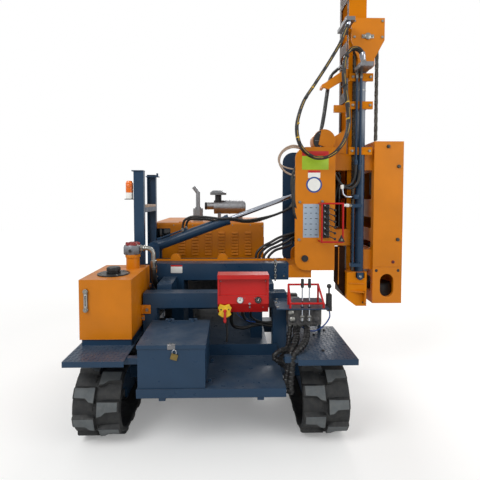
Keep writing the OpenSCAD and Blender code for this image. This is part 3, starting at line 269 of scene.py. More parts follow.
# %% Rubber, plastic, glass and cast iron
def plain(name, colour, rough=0.5, bump_scale=300, bump=0.15, dust=0.0, cloud=0.25, coat=0.0,
          edge=0.0, shine=0.5):
    """A non-metal finish: a little uneven in colour and roughness, with a fine bump and dust on top."""
    material, tree, shader, place = new_material(name)
    clouds = ramp(tree, noise(tree, place, 14, 5), 0.35, 0.65)
    base = mix_colour(tree, clouds, shade(colour, 1 - cloud), colour)
    if dust:
        film = ramp(tree, noise(tree, place, 30, 6, 0.7), 0.42, 0.62)
        base = mix_colour(tree, multiply(tree, film, dust), base, srgb(0.55, 0.53, 0.49))
    tree.links.new(base, shader.inputs["Base Color"])
    sheen = ramp(tree, noise(tree, place, 40, 3), 0.3, 0.7, rough - 0.07, rough + 0.07)
    tree.links.new(sheen, shader.inputs["Roughness"])
    made = add_node(tree, "ShaderNodeBump",
                    {"Strength": bump, "Distance": 0.0006, "Height": noise(tree, place, bump_scale, 3)})
    if edge:
        tree.links.new(soft_edges(tree, edge), made.inputs["Normal"])
    tree.links.new(made.outputs["Normal"], shader.inputs["Normal"])
    shader.inputs["Coat Weight"].default_value = coat
    shader.inputs["Specular IOR Level"].default_value = shine
    return material


track_rubber = plain("track_rubber", srgb(0.09, 0.10, 0.11), 0.62, 160, 0.2, dust=0.05, edge=0.002)
lug_rubber = plain("lug_rubber", srgb(0.36, 0.38, 0.39), 0.85, 240, 0.3, dust=0.10)
hose_rubber = plain("hose_rubber", srgb(0.075, 0.075, 0.08), 0.42, 700, 0.2, dust=0.05)
black_plastic = plain("black_plastic", srgb(0.11, 0.11, 0.115), 0.42, 500, 0.12, edge=0.001)
amber_lens = plain("amber_lens", srgb(0.93, 0.45, 0.05), 0.18, 300, 0.05, coat=0.6)
cast_iron = plain("cast_iron", srgb(0.25, 0.25, 0.26), 0.66, 180, 0.6, dust=0.2, edge=0.002)
white_enamel = plain("white_enamel", srgb(0.90, 0.90, 0.88), 0.35, 300, 0.05, cloud=0.06)
pale_pad = plain("pale_pad", srgb(0.70, 0.60, 0.52), 0.75, 200, 0.4, dust=0.2)
dark_glass = plain("dark_glass", srgb(0.06, 0.075, 0.09), 0.12, 20, 0.02, coat=0.5)
yellow_plastic = plain("yellow_plastic", srgb(0.93, 0.76, 0.12), 0.38, 300, 0.06)
red_plastic = plain("red_plastic", srgb(0.75, 0.10, 0.09), 0.38, 300, 0.06)
blue_plastic = plain("blue_plastic", srgb(0.10, 0.30, 0.62), 0.4, 300, 0.06)
green_print = plain("green_print", srgb(0.60, 0.72, 0.12), 0.4, 300, 0.05, cloud=0.08)
blue_print = plain("blue_print", srgb(0.12, 0.28, 0.55), 0.4, 300, 0.05, cloud=0.08)
grey_print = plain("grey_print", srgb(0.62, 0.68, 0.74), 0.4, 300, 0.05, cloud=0.08)
hose_band = plain("hose_band", srgb(0.86, 0.68, 0.14), 0.5, 300, 0.08)
# a dark brown that stands for orange plates in shade: painted shade
painted_shade_brown = plain("painted_shade_brown", srgb(0.19, 0.10, 0.05), 0.7, 90, 0.3, cloud=0.5, shine=0.08)
print("finishes so far:", len(bpy.data.materials))

# %% [markdown]
# ## Finishes of the CAD parts
# Every CAD part takes one of these finishes in its own material slot. Where a part has two, such as the
# tank's slate foot, boxes on the drawing say which region is which; on the mast they give the faces in shade
# a dark brown, as painted shade. Small differences, such as the red lid of the filter, are separate pieces
# further down.

# %% Finishes of the CAD parts
FINISH = {
    "rubber": track_rubber, "slate_paint": slate_paint, "orange_paint": orange_paint, "red_paint": red_paint,
    "steel": steel, "polished_steel": bright_sheet, "chrome": chrome, "black_plastic": black_plastic,
    "lamp": amber_lens, "engine_iron": cast_iron,
}
for part in frame["record"]["subparts"]:
    node = frame["nodes"][part["node"]]
    node.data.materials.clear()
    node.data.materials.append(FINISH[part["material_slot"]])
BLACK = srgb(0.10, 0.10, 0.105)
# The mast zones give dark brown to the rails' inner faces, the channel between them and the foot's left face:
# painted shade, for orange lying in shade.
MAST_SHADE_BROWN = srgb(0.22, 0.105, 0.04)
RAIL_SHADE_ZONES = [((1109, 977, 958), (1112, 1022, 3440), MAST_SHADE_BROWN), ((1109, 1193, 958), (1112, 1239, 3440), MAST_SHADE_BROWN),
              ((1089, 930, 735), (1092, 1225, 950), MAST_SHADE_BROWN), ((1105, 977, 958), (1124, 1239, 3440), MAST_SHADE_BROWN)]
TANK_ZONES = [((-890, 200, 590), (-530, 800, 646), SLATE), ((-830, 310, 1043.4), (-598, 540, 1100), BLACK)]
BOX_ZONE = ((60, 501.8, 880), (350, 520, 1060), SLATE)
CRADLE_ZONE = ((660, 1085, 1500), (938, 1225, 1730), SLATE)
# The tilt pin takes black, which stands for the shade in its bore: painted shade.
own_finish = {"oil_tank": paint("tank_paint", ORANGE, zones=TANK_ZONES),
              "cradle": paint("cradle_paint", ORANGE, zones=[CRADLE_ZONE]),
              "control_box": paint("box_paint", srgb(0.78, 0.12, 0.11), dust=0.2, zones=[BOX_ZONE]),
              "mast": paint("mast_paint", ORANGE, shine=0.1, zones=RAIL_SHADE_ZONES),
              # the lift barrel's paler upper end is a painted reflection of a bright sky
              "lift_barrel": paint("barrel_paint", SLATE, dust=0.05, rough=0.22,
                                   painted_reflection=(2030, 2230, srgb(0.50, 0.53, 0.57))), "tilt_pin": black_plastic,
              "hose_arms": steel, "throttle_lever": black_plastic,}
for name, finish in own_finish.items():
    frame["nodes"][name].data.materials[0] = finish

# %% [markdown]
# ## Shape helper
# Fittings, signs and brackets are boxes with soft edges, turned parts and bent tubes. This small class
# collects such forms in one mesh, in the drawing's millimetres, and then hands the mesh over as a piece
# that rides on a body of the machine.


# %% Shape helper
def in_plane(y, *places):
    """Points of an upright plane across the rig, from their (x, z)."""
    return [(x, y, z) for x, z in places]


def smooth_path(points, step=12.0):
    """Points along a curve that passes through all the given ones, about one step apart."""
    pts = [Vector(p) for p in points]
    ends = [2 * pts[0] - pts[1]] + pts + [2 * pts[-1] - pts[-2]]
    path = []
    for a, b, c, d in zip(ends, ends[1:], ends[2:], ends[3:]):
        count = max(2, round((c - b).length / step))
        for i in range(count):
            t = i / count
            path.append(0.5 * (2 * b + (c - a) * t + (2 * a - 5 * b + 4 * c - d) * t * t
                               + (3 * b - a - 3 * c + d) * t ** 3))
    return path + [pts[-1]]


class Shape:
    """A mesh in the making. paints holds its materials; each form takes one of them by number."""

    def __init__(self, *paints):
        self.bm = bmesh.new()
        self.uv = self.bm.loops.layers.uv.new("UVMap")
        self.paints = paints

    def dress(self, faces, paint):
        """Gives faces one of the materials."""
        for face in faces:
            face.material_index = paint

    def ring(self, centre, side, other, radius, sides):
        """Corners round a centre, in the plane of two directions."""
        angles = [2 * math.pi * k / sides for k in range(sides)]
        return [self.bm.verts.new(centre + radius * (math.cos(a) * side + math.sin(a) * other))
                for a in angles]

    def wall(self, low, high):
        """Faces between two rings of corners, as a list in the rings' order."""
        count = len(low)
        return [self.bm.faces.new((low[k], low[(k + 1) % count], high[(k + 1) % count], high[k]))
                for k in range(count)]

    def box(self, lo, hi, edge=1.5, paint=0, turn=0.0, axis="Y"):
        """A box with rounded edges, turned about its middle by some degrees."""
        lo, hi = Vector(lo), Vector(hi)
        size = hi - lo
        place = Matrix.Translation((lo + hi) / 2) @ Matrix.Rotation(math.radians(turn), 4, axis)
        made = bmesh.ops.create_cube(self.bm, size=1, matrix=place @ Matrix.Diagonal((*size, 1)))["verts"]
        edge = min(edge, 0.3 * min(size))
        if edge > 0:
            edges = list({e for v in made for e in v.link_edges})
            cut = bmesh.ops.bevel(self.bm, geom=edges, offset=edge, segments=2, profile=0.5, affect="EDGES")
            made = [v for v in made if v.is_valid] + cut["verts"]
        self.dress({f for v in made for f in v.link_faces}, paint)
        return self

    def turned(self, start, facing, profile, sides=24, paint=0):
        """A turned part. profile gives (distance from start, radius) along the direction it faces."""
        start, along = Vector(start), Vector(facing).normalized()
        side = along.orthogonal().normalized()
        other = along.cross(side)
        rings = []
        for distance, radius in profile:
            rings.append(self.ring(start + along * distance, side, other, radius, sides))
        faces = [face for low, high in zip(rings, rings[1:]) for face in self.wall(low, high)]
        self.dress(faces + [self.bm.faces.new(rings[0][::-1]), self.bm.faces.new(rings[-1])], paint)
        return self

    def bar(self, start, end, radius, sides=20, edge=1.0, paint=0):
        """A round bar with broken edges."""
        run = Vector(end) - Vector(start)
        edge = min(edge, radius * 0.4, run.length * 0.3)
        profile = [(0, radius - edge), (edge, radius), (run.length - edge, radius),
                   (run.length, radius - edge)]
        return self.turned(start, run, profile, sides, paint)

    def hexagon(self, start, end, width, paint=0):
        """A nut or a bolt's head, as wide across its flats as given."""
        run = Vector(end) - Vector(start)
        radius = width / math.sqrt(3)
        profile = [(0, radius), (run.length * 0.8, radius), (run.length, radius * 0.86)]
        return self.turned(start, run, profile, 6, paint)

    def plate(self, outline, low, high, along="Y", edge=0.8, paint=0):
        """A flat plate: an outline of points, given a thickness along X, Y or Z."""
        height_at = "XYZ".index(along)
        ends = []
        for height in (low, high):
            places = [(*point[:height_at], height, *point[height_at:]) for point in outline]
            ends.append([self.bm.verts.new(place) for place in places])
        lower, upper = ends
        faces = [self.bm.faces.new(lower[::-1]), self.bm.faces.new(upper)]
        rims = []
        for k in range(len(outline)):
            n = (k + 1) % len(outline)
            faces.append(self.bm.faces.new((lower[k], lower[n], upper[n], upper[k])))
            rims += [self.bm.edges.get((lower[k], lower[n])), self.bm.edges.get((upper[k], upper[n]))]
        bmesh.ops.recalc_face_normals(self.bm, faces=faces)
        if edge > 0:
            cut = bmesh.ops.bevel(self.bm, geom=rims, offset=edge, segments=1, affect="EDGES")
            faces = list({f for v in cut["verts"] for f in v.link_faces} | {f for f in faces if f.is_valid})
        self.dress(faces, paint)
        return self

    def tube(self, points, radius, sides=12, paint=0, step=12.0, smooth=True):
        """A hose or a bent pipe through the points. Its UV map runs round it and along it, in metres."""
        path = smooth_path(points, step) if smooth else [Vector(p) for p in points]
        rings, lengths, length = [], [], 0.0
        side = (path[1] - path[0]).normalized().orthogonal().normalized()
        for i, point in enumerate(path):
            along = (path[min(i + 1, len(path) - 1)] - path[max(i - 1, 0)]).normalized()
            side = (side - side.dot(along) * along).normalized()
            rings.append(self.ring(point, side, along.cross(side), radius, sides))
            length += (point - path[i - 1]).length if i else 0
            lengths.append(length)
        faces = []
        for i, (low, high) in enumerate(zip(rings, rings[1:])):
            for k, face in enumerate(self.wall(low, high)):
                corners = ((k, i), (k + 1, i), (k + 1, i + 1), (k, i + 1))
                for loop, (u, v) in zip(face.loops, corners):
                    loop[self.uv].uv = (u / sides, lengths[v] / 1000)
                faces.append(face)
        faces += [self.bm.faces.new(rings[0][::-1]), self.bm.faces.new(rings[-1])]
        self.dress(faces, paint)
        return self

    def mesh(self, name):
        """Ends the work: the drawing's millimetres, from its corner, become metres of the scene."""
        bmesh.ops.transform(self.bm, matrix=Matrix.Translation(-MIDDLE), verts=self.bm.verts)
        return self.stamp(name)

    def stamp(self, name):
        """Ends a form drawn about the origin, in metres. Round forms shade smooth."""
        bmesh.ops.transform(self.bm, matrix=Matrix.Scale(0.001, 4), verts=self.bm.verts)
        mesh = bpy.data.meshes.new(name)
        self.bm.to_mesh(mesh)
        self.bm.free()
        for material in self.paints:
            mesh.materials.append(material)
        mesh.shade_smooth()
        mesh.set_sharp_from_angle(angle=math.radians(38))
        return mesh

    def piece(self, name, body, slot_name, *stands_for):
        """Ends the work and sets the mesh in the scene."""
        return place_piece(name, self.mesh(name), body, slot_name, *stands_for)


def place_piece(name, mesh, body, slot_name, *stands_for):
    """Puts a finished mesh in the scene as a piece of that body. slot_name is not used.
    body is None for a piece that is attached to no body."""
    piece = bpy.data.objects.new(name, mesh)
    bpy.context.collection.objects.link(piece)
    if body:
        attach(piece, body)
    if stands_for:
        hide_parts(*stands_for)
    print(f"{name}: {len(mesh.polygons)} faces on {body or 'two bodies'}")
    return piece


def circle(count, radius, start=0.0):
    """Places round a circle, as (across, up) from its middle, the first one at start degrees."""
    angles = [math.radians(start) + 2 * math.pi * k / count for k in range(count)]
    return [(radius * math.cos(a), radius * math.sin(a)) for a in angles]


# %% [markdown]
# ## The twin hose loop
# Two hydraulic hoses stand in a wide loop beside the mast: they leave the high bracket, hang down past
# the cradle's drum, turn, and rise again to the bracket on the lift cylinder. Both are 26 mm hoses that
# are free between their fittings; here they are drawn as fixed tubes that ride on the mast.

# %% The twin hose loop
LOOP = [(1044, 2956), (1010, 2880), (973, 2790), (878, 2631), (775, 2472), (696, 2350), (650, 2215),
        (640, 2115), (660, 2020), (711, 1945), (795, 1900), (886, 1908), (965, 1960), (1025, 2050),
        (1052, 2160), (1048, 2280), (1030, 2395), (1014, 2510), (1010, 2600), (1025, 2694),
        (1068, 2752), (1120, 2755), (1155, 2715), (1165, 2650)]
HOSE_RADIUS = 13.0
LOOP_PLANES = (748, 777)
for name, y in zip(("loop_hose_front", "loop_hose_back"), LOOP_PLANES):
    path = smooth_path(in_plane(y, *LOOP), 14)
    shape = Shape(hose_rubber, hose_band)
    shape.tube(path, HOSE_RADIUS, sides=14, smooth=False)
    for first in range(4, len(path) - 8, 9):
        printed = [p + Vector((0, -HOSE_RADIUS + 0.6, 0)) for p in path[first:first + 7]]
        shape.tube(printed, 1.5, sides=6, paint=1, smooth=False)
    hose = shape.piece(name + "_rubber", "mast", "black_plastic", name)

# %% [markdown]
# ## Geometry Nodes for what repeats
# Bolts, track lugs, chain links and tread lozenges are one shape set many times. The rule for where each
# one goes is written as points that carry two directions, and this tree sets the shape on every point.


# %% Geometry Nodes for what repeats
def points_tree():
    """A tree that sets a shape on points, its Z axis along 'facing' and its X axis along 'along'."""
    tree = bpy.data.node_groups.new("Set shape on points", "GeometryNodeTree")
    face = tree.interface
    face.new_socket("Geometry", in_out="INPUT", socket_type="NodeSocketGeometry")
    face.new_socket("Shape", in_out="INPUT", socket_type="NodeSocketObject")
    face.new_socket("Size", in_out="INPUT", socket_type="NodeSocketVector").default_value = (1, 1, 1)
    face.new_socket("Uneven", in_out="INPUT", socket_type="NodeSocketFloat").default_value = 0.0
    face.new_socket("Finish", in_out="INPUT", socket_type="NodeSocketMaterial")
    face.new_socket("Geometry", in_out="OUTPUT", socket_type="NodeSocketGeometry")
    given = tree.nodes.new("NodeGroupInput").outputs
    facing, along = (add_node(tree, "GeometryNodeInputNamedAttribute", {"Name": name},
                              data_type="FLOAT_VECTOR").outputs[0] for name in ("facing", "along"))
    turn = add_node(tree, "FunctionNodeAlignRotationToVector", {"Vector": facing}, axis="Z").outputs[0]
    turn = add_node(tree, "FunctionNodeAlignRotationToVector", {"Rotation": turn, "Vector": along},
                    axis="X", pivot_axis="Z").outputs[0]
    shape = add_node(tree, "GeometryNodeObjectInfo", {"Object": given["Shape"]}).outputs["Geometry"]
    low, high = (calculate(tree, operation, 1.0, given["Uneven"]) for operation in ("SUBTRACT", "ADD"))
    chance = add_node(tree, "FunctionNodeRandomValue", {"Min": low, "Max": high, "Seed": 7},
                      data_type="FLOAT").outputs[1]
    size = add_node(tree, "ShaderNodeVectorMath", {0: given["Size"], "Scale": chance},
                    operation="SCALE").outputs[0]
    settings = {"Points": given["Geometry"], "Instance": shape, "Rotation": turn, "Scale": size}
    placed = add_node(tree, "GeometryNodeInstanceOnPoints", settings).outputs[0]
    real = add_node(tree, "GeometryNodeRealizeInstances", {"Geometry": placed}).outputs[0]
    dressed = add_node(tree, "GeometryNodeSetMaterial",
                       {"Geometry": real, "Material": given["Finish"]}).outputs[0]
    add_node(tree, "NodeGroupOutput", {"Geometry": dressed})
    return tree


POINTS = points_tree()


def stamp(name, shape):
    """A small form, kept out of the picture, for the tree to repeat. It is drawn about the origin."""
    return bpy.data.objects.new(name, shape.stamp(name))


def repeat(name, shape, spots, finish, size=(1, 1, 1), uneven=0.0):
    """Sets the shape on spots, each (place in mm, facing, along), and returns the joined mesh in metres."""
    seeds = bpy.data.meshes.new(name + "_points")
    seeds.from_pydata([at(*place) for place, _, _ in spots], [], [])
    for label, column in (("facing", 1), ("along", 2)):
        values = seeds.attributes.new(label, "FLOAT_VECTOR", "POINT").data
        for value, spot in zip(values, spots):
            value.vector = spot[column]
    carrier = bpy.data.objects.new(name + "_carrier", seeds)
    bpy.context.collection.objects.link(carrier)
    modifier = carrier.modifiers.new("Repeat", "NODES")
    modifier.node_group = POINTS
    wanted = {"Shape": shape, "Size": size, "Uneven": uneven, "Finish": finish}
    for socket in POINTS.interface.items_tree:
        if socket.in_out == "INPUT" and socket.name in wanted:
            modifier[socket.identifier] = wanted[socket.name]
    bpy.context.view_layer.update()
    evaluated = carrier.evaluated_get(bpy.context.evaluated_depsgraph_get())
    mesh = bpy.data.meshes.new_from_object(evaluated)
    mesh.name = name
    carrier.modifiers.clear()
    bpy.data.objects.remove(carrier)
    return mesh


# %% [markdown]
# ## Rubber tracks
# A rubber track is one moulded belt. Two columns of lugs, about half a pitch apart, stand on it, each
# with sloped flanks and a worn, paler top. Small windows between the columns take the sprocket's teeth.
# The belt is drawn as a ring, and the tree sets a lug on every pitch of both columns.

# %% Rubber tracks
TRACK_Y0, TRACK_LEN, TRACK_H, LUG_H, LUGS = 40, 2250, 490, 30, 29
TRACK_MIDDLE = 723                          # from the middle of the rig to the middle of a track
FRAME_FACE = TRACK_MIDDLE + 66              # to the outer face of the track's side frame
LUG_SINK, BEND = 7.2, 0.12                  # how deep lugs sit round the wheels, and where that begins
WHEEL_R = TRACK_H / 2 - LUG_H               # outside of the belt round the wheels
FLAT = TRACK_LEN - 2 * (WHEEL_R + LUG_H)
AXLE_Z = WHEEL_R + LUG_H
FRONT_Y = TRACK_Y0 + WHEEL_R + LUG_H
LOOP_LEN = 2 * FLAT + 2 * math.pi * WHEEL_R


def on_track(s, height=0.0):
    """A point of the belt's side view and its outward direction, s mm round the loop."""
    s = s % LOOP_LEN
    arc = math.pi * WHEEL_R
    if s < FLAT:
        y, z, angle = FRONT_Y + s, AXLE_Z, -90
    elif s < FLAT + arc:
        y, z, angle = FRONT_Y + FLAT, AXLE_Z, -90 + math.degrees((s - FLAT) / WHEEL_R)
    elif s < 2 * FLAT + arc:
        y, z, angle = FRONT_Y + FLAT - (s - FLAT - arc), AXLE_Z, 90
    else:
        y, z, angle = FRONT_Y, AXLE_Z, 90 + math.degrees((s - 2 * FLAT - arc) / WHEEL_R)
    out = (math.cos(math.radians(angle)), math.sin(math.radians(angle)))
    return (y + (WHEEL_R + height) * out[0], z + (WHEEL_R + height) * out[1]), out


def lug_shape(mirror):
    """One lug about the origin: X along the track, Y across it, Z up from the belt."""
    shape = Shape()
    pitch = LOOP_LEN / LUGS
    long_top, long_foot, wide = 0.40 * pitch, 0.50 * pitch, 140
    rows = []
    for y, slide, high, slim in ((-wide / 2, 0, 0.80, 0.8), (-wide / 2 + 8, 0, 1.0, 0.86),
                                 (10, 2, 1.0, 0.92), (wide / 2 - 34, 12, 1.0, 1.30),
                                 (wide / 2 - 4, 15, 1.0, 1.40), (wide / 2, 15, 0.6, 1.3)):
        top, half, base = (LUG_H - 1) * high, long_top * slim / 2, long_foot * (0.9 + 0.1 * slim) / 2
        section = ((-base, -2), (-half - 3, top - 4), (-half, top), (half, top),
                   (half + 3, top - 4), (base, -2))
        rows.append([shape.bm.verts.new((x + slide, mirror * y, z)) for x, z in section])
    for near, far in zip(rows, rows[1:]):
        shape.wall(near, far)
    shape.bm.faces.new(rows[0])
    shape.bm.faces.new(rows[-1][::-1])
    bmesh.ops.recalc_face_normals(shape.bm, faces=shape.bm.faces)
    return shape


def pad_shape(mirror):
    """The worn face on top of a lug, about the same origin."""
    pitch = LOOP_LEN / LUGS
    half = 0.20 * pitch - 2
    outline = [(-0.86 * half, -60), (0.86 * half, -60), (0.92 * half + 2, 10), (1.30 * half + 12, 36),
               (1.38 * half + 14, 64), (-1.38 * half + 16, 64), (-1.30 * half + 13, 36),
               (-0.92 * half + 2, 10)]
    shape = Shape()
    return shape.plate([(x, mirror * y) for x, y in outline], LUG_H - 2, LUG_H - 0.1, along="Z", edge=0.3)


def track_mesh(name, side):
    """Belt and lugs of one track, as one mesh."""
    middle = side * TRACK_MIDDLE
    belt = Shape(track_rubber)
    sections = [(-150, -6), (-146, 0), (146, 0), (150, -6), (150, -19), (144, -25), (-144, -25), (-150, -19)]
    count = 116
    rings = []
    for i in range(count):
        places = [(x, on_track(i * LOOP_LEN / count, height)[0]) for x, height in sections]
        rings.append([belt.bm.verts.new((middle + x, y, z)) for x, (y, z) in places])
    for before, after in zip(rings, rings[1:] + rings[:1]):
        belt.wall(after, before)
    bmesh.ops.recalc_face_normals(belt.bm, faces=belt.bm.faces)
    # the ladder of windows down the middle, as raised frames round dark pockets
    for i in range(LUGS):
        (y, z), out = on_track((i + 0.78) * LOOP_LEN / LUGS, 1.0)
        turn = math.degrees(math.atan2(out[1], out[0])) - 90
        for dx, wide, long in ((-22, 5, 52), (22, 5, 52), (0, 48, 7)):
            belt.box((middle + dx - wide / 2, y - long / 2, z - 3),
                     (middle + dx + wide / 2, y + long / 2, z + 3), edge=0, turn=turn, axis="X")
    meshes = [belt.mesh(name)]
    for column in (-1, 1):
        shape = stamp(f"{name}_lug_{column}", lug_shape(-column))
        spots = []
        for i in range(LUGS):
            step = (i + 0.3 + (0.45 if column > 0 else 0)) * LOOP_LEN / LUGS
            # round the wheels a flat lug sits deeper, so that its ends stay on the wheel's circle
            curved = min(1, abs(on_track(step)[1][0]) / BEND)
            (y, z), out = on_track(step, -LUG_SINK * curved)
            spots.append(((middle + column * 75, y, z), (0, out[0], out[1]), (0, -out[1], out[0])))
        meshes.append(repeat(f"{name}_lugs_{column}", shape, spots, track_rubber))
        pad = stamp(f"{name}_pad_{column}", pad_shape(-column))
        meshes.append(repeat(f"{name}_pads_{column}", pad, spots, lug_rubber))
    return join_meshes(name, meshes)


def join_meshes(name, meshes):
    """Several meshes as one, their materials kept."""
    bm = bmesh.new()
    paints = []
    for mesh in meshes:
        start = len(bm.faces)
        bm.from_mesh(mesh)
        bm.faces.ensure_lookup_table()
        own = list(mesh.materials) or [None]
        paints += [material for material in own if material not in paints]
        for face in bm.faces[start:]:
            face.material_index = paints.index(own[min(face.material_index, len(own) - 1)])
    joined = bpy.data.meshes.new(name)
    bm.to_mesh(joined)
    bm.free()
    for material in paints:
        joined.materials.append(material)
    return joined


for node, side in (("track_left", -1), ("track_right", 1)):
    place_piece(node + "_rubber", track_mesh(node + "_rubber", side), "root", "rubber", node)

# %% [markdown]
# ## Bolts
# Hexagon bolts with washers hold brackets, signs and clamps. One stamp is drawn once, and each body
# gets one mesh of all its bolts, because a mesh can ride on one body only.

# %% Bolts
def bolt_stamp():
    """A hexagon bolt's head on a washer, 19 mm across its flats, standing on the origin."""
    shape = Shape()
    shape.turned((0, 0, -1), UP, [(0, 11.5), (2.9, 11.5), (3.4, 11)], 16)
    shape.hexagon((0, 0, 2), (0, 0, 10), 19)
    shape.turned((0, 0, 9), UP, [(0, 5.5), (1.6, 5)], 8)
    return stamp("bolt", shape)


BOLT = bolt_stamp()


def bolts(name, body, slot_name, finish, spots, size=1.0):
    """Bolts at places in mm, each with the direction that its head faces."""
    full = [(place, facing, (0, 0, 1) if facing[2] == 0 else (1, 0, 0)) for place, facing in spots]
    return place_piece(name, repeat(name, BOLT, full, finish, (size, size, size)), body, slot_name)


bolts("cheek_bolts", "cradle", "steel", zinc,
      [((686, 862, 1547), FRONT), ((873, 862, 1551), FRONT), ((681, 862, 1235), FRONT)], 1.05)
clamp_spots = [((x, 882, z), FRONT) for z in (1971, 2347) for x in (1122, 1266)]
bolts("clamp_bolts", "mast", "steel", zinc, clamp_spots + [((x, 882, 2576), FRONT) for x in (1122, 1268)])
bolts("foot_bolts", "mast", "steel", chain_steel,
      [((1234, 885, 700), FRONT), ((1260, 930, 712), RIGHT), ((1260, 1180, 712), RIGHT)])
bolts("hammer_bolts", "hammer", "steel", chain_steel,
      [((1524, 900, 1230), FRONT), ((1523, 900, 1845), FRONT), ((1433, 900, 2011), FRONT)]
      + [((x, 1255, z), BACK) for z in (1230, 1900) for x in (1380, 1500)], 1.35)
bolts("fender_bolts", "root", "steel", black_plastic,
      [((806, 501, 600), UP), ((712, 413, 600), UP), ((709, 129, 600), UP)], 0.9)
hood_spots = [((x, 1340, z), FRONT) for x in (-610, 416) for z in (600, 860, 1120, 1310)]
hood_spots += [((x, 1340, 1322), FRONT) for x in (-430, -250, -60, 130, 300)]
for x, facing in ((428, RIGHT), (-622, LEFT)):
    hood_spots += [((x, y, z), facing) for y in (1400, 1815, 2230) for z in (600, 1300)]
bolts("hood_bolts", "root", "steel", zinc, hood_spots, 0.5)
bolts("frame_bolts", "root", "steel", zinc,
      [((x, 470, 842), UP) for x in (450, 560, 760)] + [((434, y, 842), UP) for y in (270, 380)]
      + [((x, 890, 925), FRONT) for x in (-500, 560)] + [((-632, 794, 1000), FRONT)], 0.75)

# %% [markdown]
# ## Chequer plate
# The fenders are tread plate: small lozenges stand proud, each turned a right angle to its neighbours.
# A grid of points with alternating directions is enough for the tree to lay them.


# %% Chequer plate
def lozenge_stamp():
    """A low pointed ridge, 26 mm long, along X."""
    shape = Shape()
    foot = [(-14, 0), (-6, -3.6), (6, -3.6), (14, 0), (6, 3.6), (-6, 3.6)]
    low = [shape.bm.verts.new((x, y, -0.4)) for x, y in foot]
    high = [shape.bm.verts.new((0.62 * x, 0.5 * y, 1.7)) for x, y in foot]
    shape.bm.faces.new(low[::-1])
    shape.bm.faces.new(high)
    shape.wall(low, high)
    return stamp("lozenge", shape)


LOZENGE = lozenge_stamp()


def chequer(name, x0, x1, y0, y1, z, skip=None):
    """Lozenges over a plate. skip is a box (x0, x1, y0, y1) that something stands on."""
    spots, pitch = [], 27
    for i in range(int((x1 - x0) / pitch)):
        for j in range(int((y1 - y0) / pitch)):
            x, y = x0 + (i + 0.5) * pitch, y0 + (j + 0.5) * pitch
            if skip and skip[0] - 16 < x < skip[1] + 16 and skip[2] - 16 < y < skip[3] + 16:
                continue
            slant = 1 if (i + j) % 2 else -1
            spots.append(((x, y, z), UP, (0.7, 0.7 * slant, 0)))
    return place_piece(name, repeat(name, LOZENGE, spots, slate_paint), "root", "slate_paint")


chequer("chequer_left", -892, -531, 4, 796, 600, (-871, -544, 243, 777))
chequer("chequer_right", 531, 892, 4, 586, 600)

# %% [markdown]
# ## Chains
# The rod lifts a sheave, and a chain runs from the mast's foot over that sheave to the hammer. Each link
# is two pairs of flat plates on two pins. The straight runs change length as the head rises; here they
# stand fixed in the scene, on no body, and the run over the sheave rides on the lift head.


# %% Chains
def link_stamp(pitch):
    """Two pitches of roller chain along X, its plates in the X and Z plane."""
    shape = Shape()

    def side_plate(middle, y, thick):
        ends = [(pitch / 2 + 9 * math.cos(a), 9 * math.sin(a)) for a in (-1.57, -0.8, 0, 0.8, 1.57)]
        ends += [(-x, z) for x, z in reversed(ends)]
        shape.plate([(middle + x, z) for x, z in ends], y - thick / 2, y + thick / 2, edge=0)

    for y in (-16.5, 16.5):
        side_plate(0, y, 3.2)
    for y in (-12.6, 12.6):
        side_plate(pitch, y, 3.2)
    for x in (-pitch / 2, pitch / 2):
        shape.turned((x, -18.6, 0), BACK, [(0, 4), (37.2, 4)], 8)
        shape.turned((x, -10.6, 0), BACK, [(0, 8), (21.2, 8)], 10)
    return stamp("chain_link", shape)


CHAIN_PITCH = 38.0
LIFT_X, LIFT_Y = 1205, 928                  # axis of the lift cylinder, whose plane the chains share
SHEAVE_X, SHEAVE_Z = 1240, 2905             # axis of the sheave
LINK = link_stamp(CHAIN_PITCH)


def chain(name, x, foot_z, node):
    """A straight run of chain, upright under the sheave's height, in place of a bar of the CAD."""
    count = round((SHEAVE_Z - foot_z) / (2 * CHAIN_PITCH))
    step = (SHEAVE_Z - foot_z - CHAIN_PITCH) / count
    spots = [((x, LIFT_Y, foot_z + 14 + (i + 0.25) * step), RIGHT, UP) for i in range(count)]
    links = repeat(name, LINK, spots, chain_steel, (step / (2 * CHAIN_PITCH), 1, 1))
    return place_piece(name, links, None, "steel", node)


tail = chain("chain_tail_links", 1146, 957, "chain_tail")
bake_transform(tail)
fall = chain("chain_fall_links", 1334, 2054, "chain_fall")
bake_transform(fall)
CHAIN_BEND = 96                             # from the sheave's axis to the middle of the chain
arc_spots = []
for x, z in circle(8, 1, 22.5)[:4]:
    place = (SHEAVE_X + CHAIN_BEND * x, LIFT_Y, SHEAVE_Z + CHAIN_BEND * z)
    arc_spots.append((place, (x, 0, z), (-z, 0, x)))
over_sheave = repeat("chain_over_sheave", LINK, arc_spots, chain_steel, (0.9, 1, 1))
place_piece("chain_over_sheave", over_sheave, "lift_head", "steel")

# %% [markdown]
# ## Oil tank fittings
# The tank shows its level in a clear gauge between two banjo bolts. A black breather stands in a bolted
# flange on top, and two orange lugs tie the tank to the frame.

# %% Oil tank fittings
gauge = Shape(zinc, dark_glass, white_enamel)
gauge.box((-849, 222, 846), (-823, 235.5, 968), 3)
gauge.box((-842, 220, 866), (-830, 224, 948), 1.5, paint=2)
gauge.box((-840, 218.5, 870), (-832, 222, 944), 1.2, paint=1)
for z in (846, 968):
    gauge.bar((-836, 235.5, z), (-836, 217, z), 16, 24, 2)
    gauge.hexagon((-836, 218, z), (-836, 211, z), 17)
gauge.piece("level_gauge", "root", "steel")

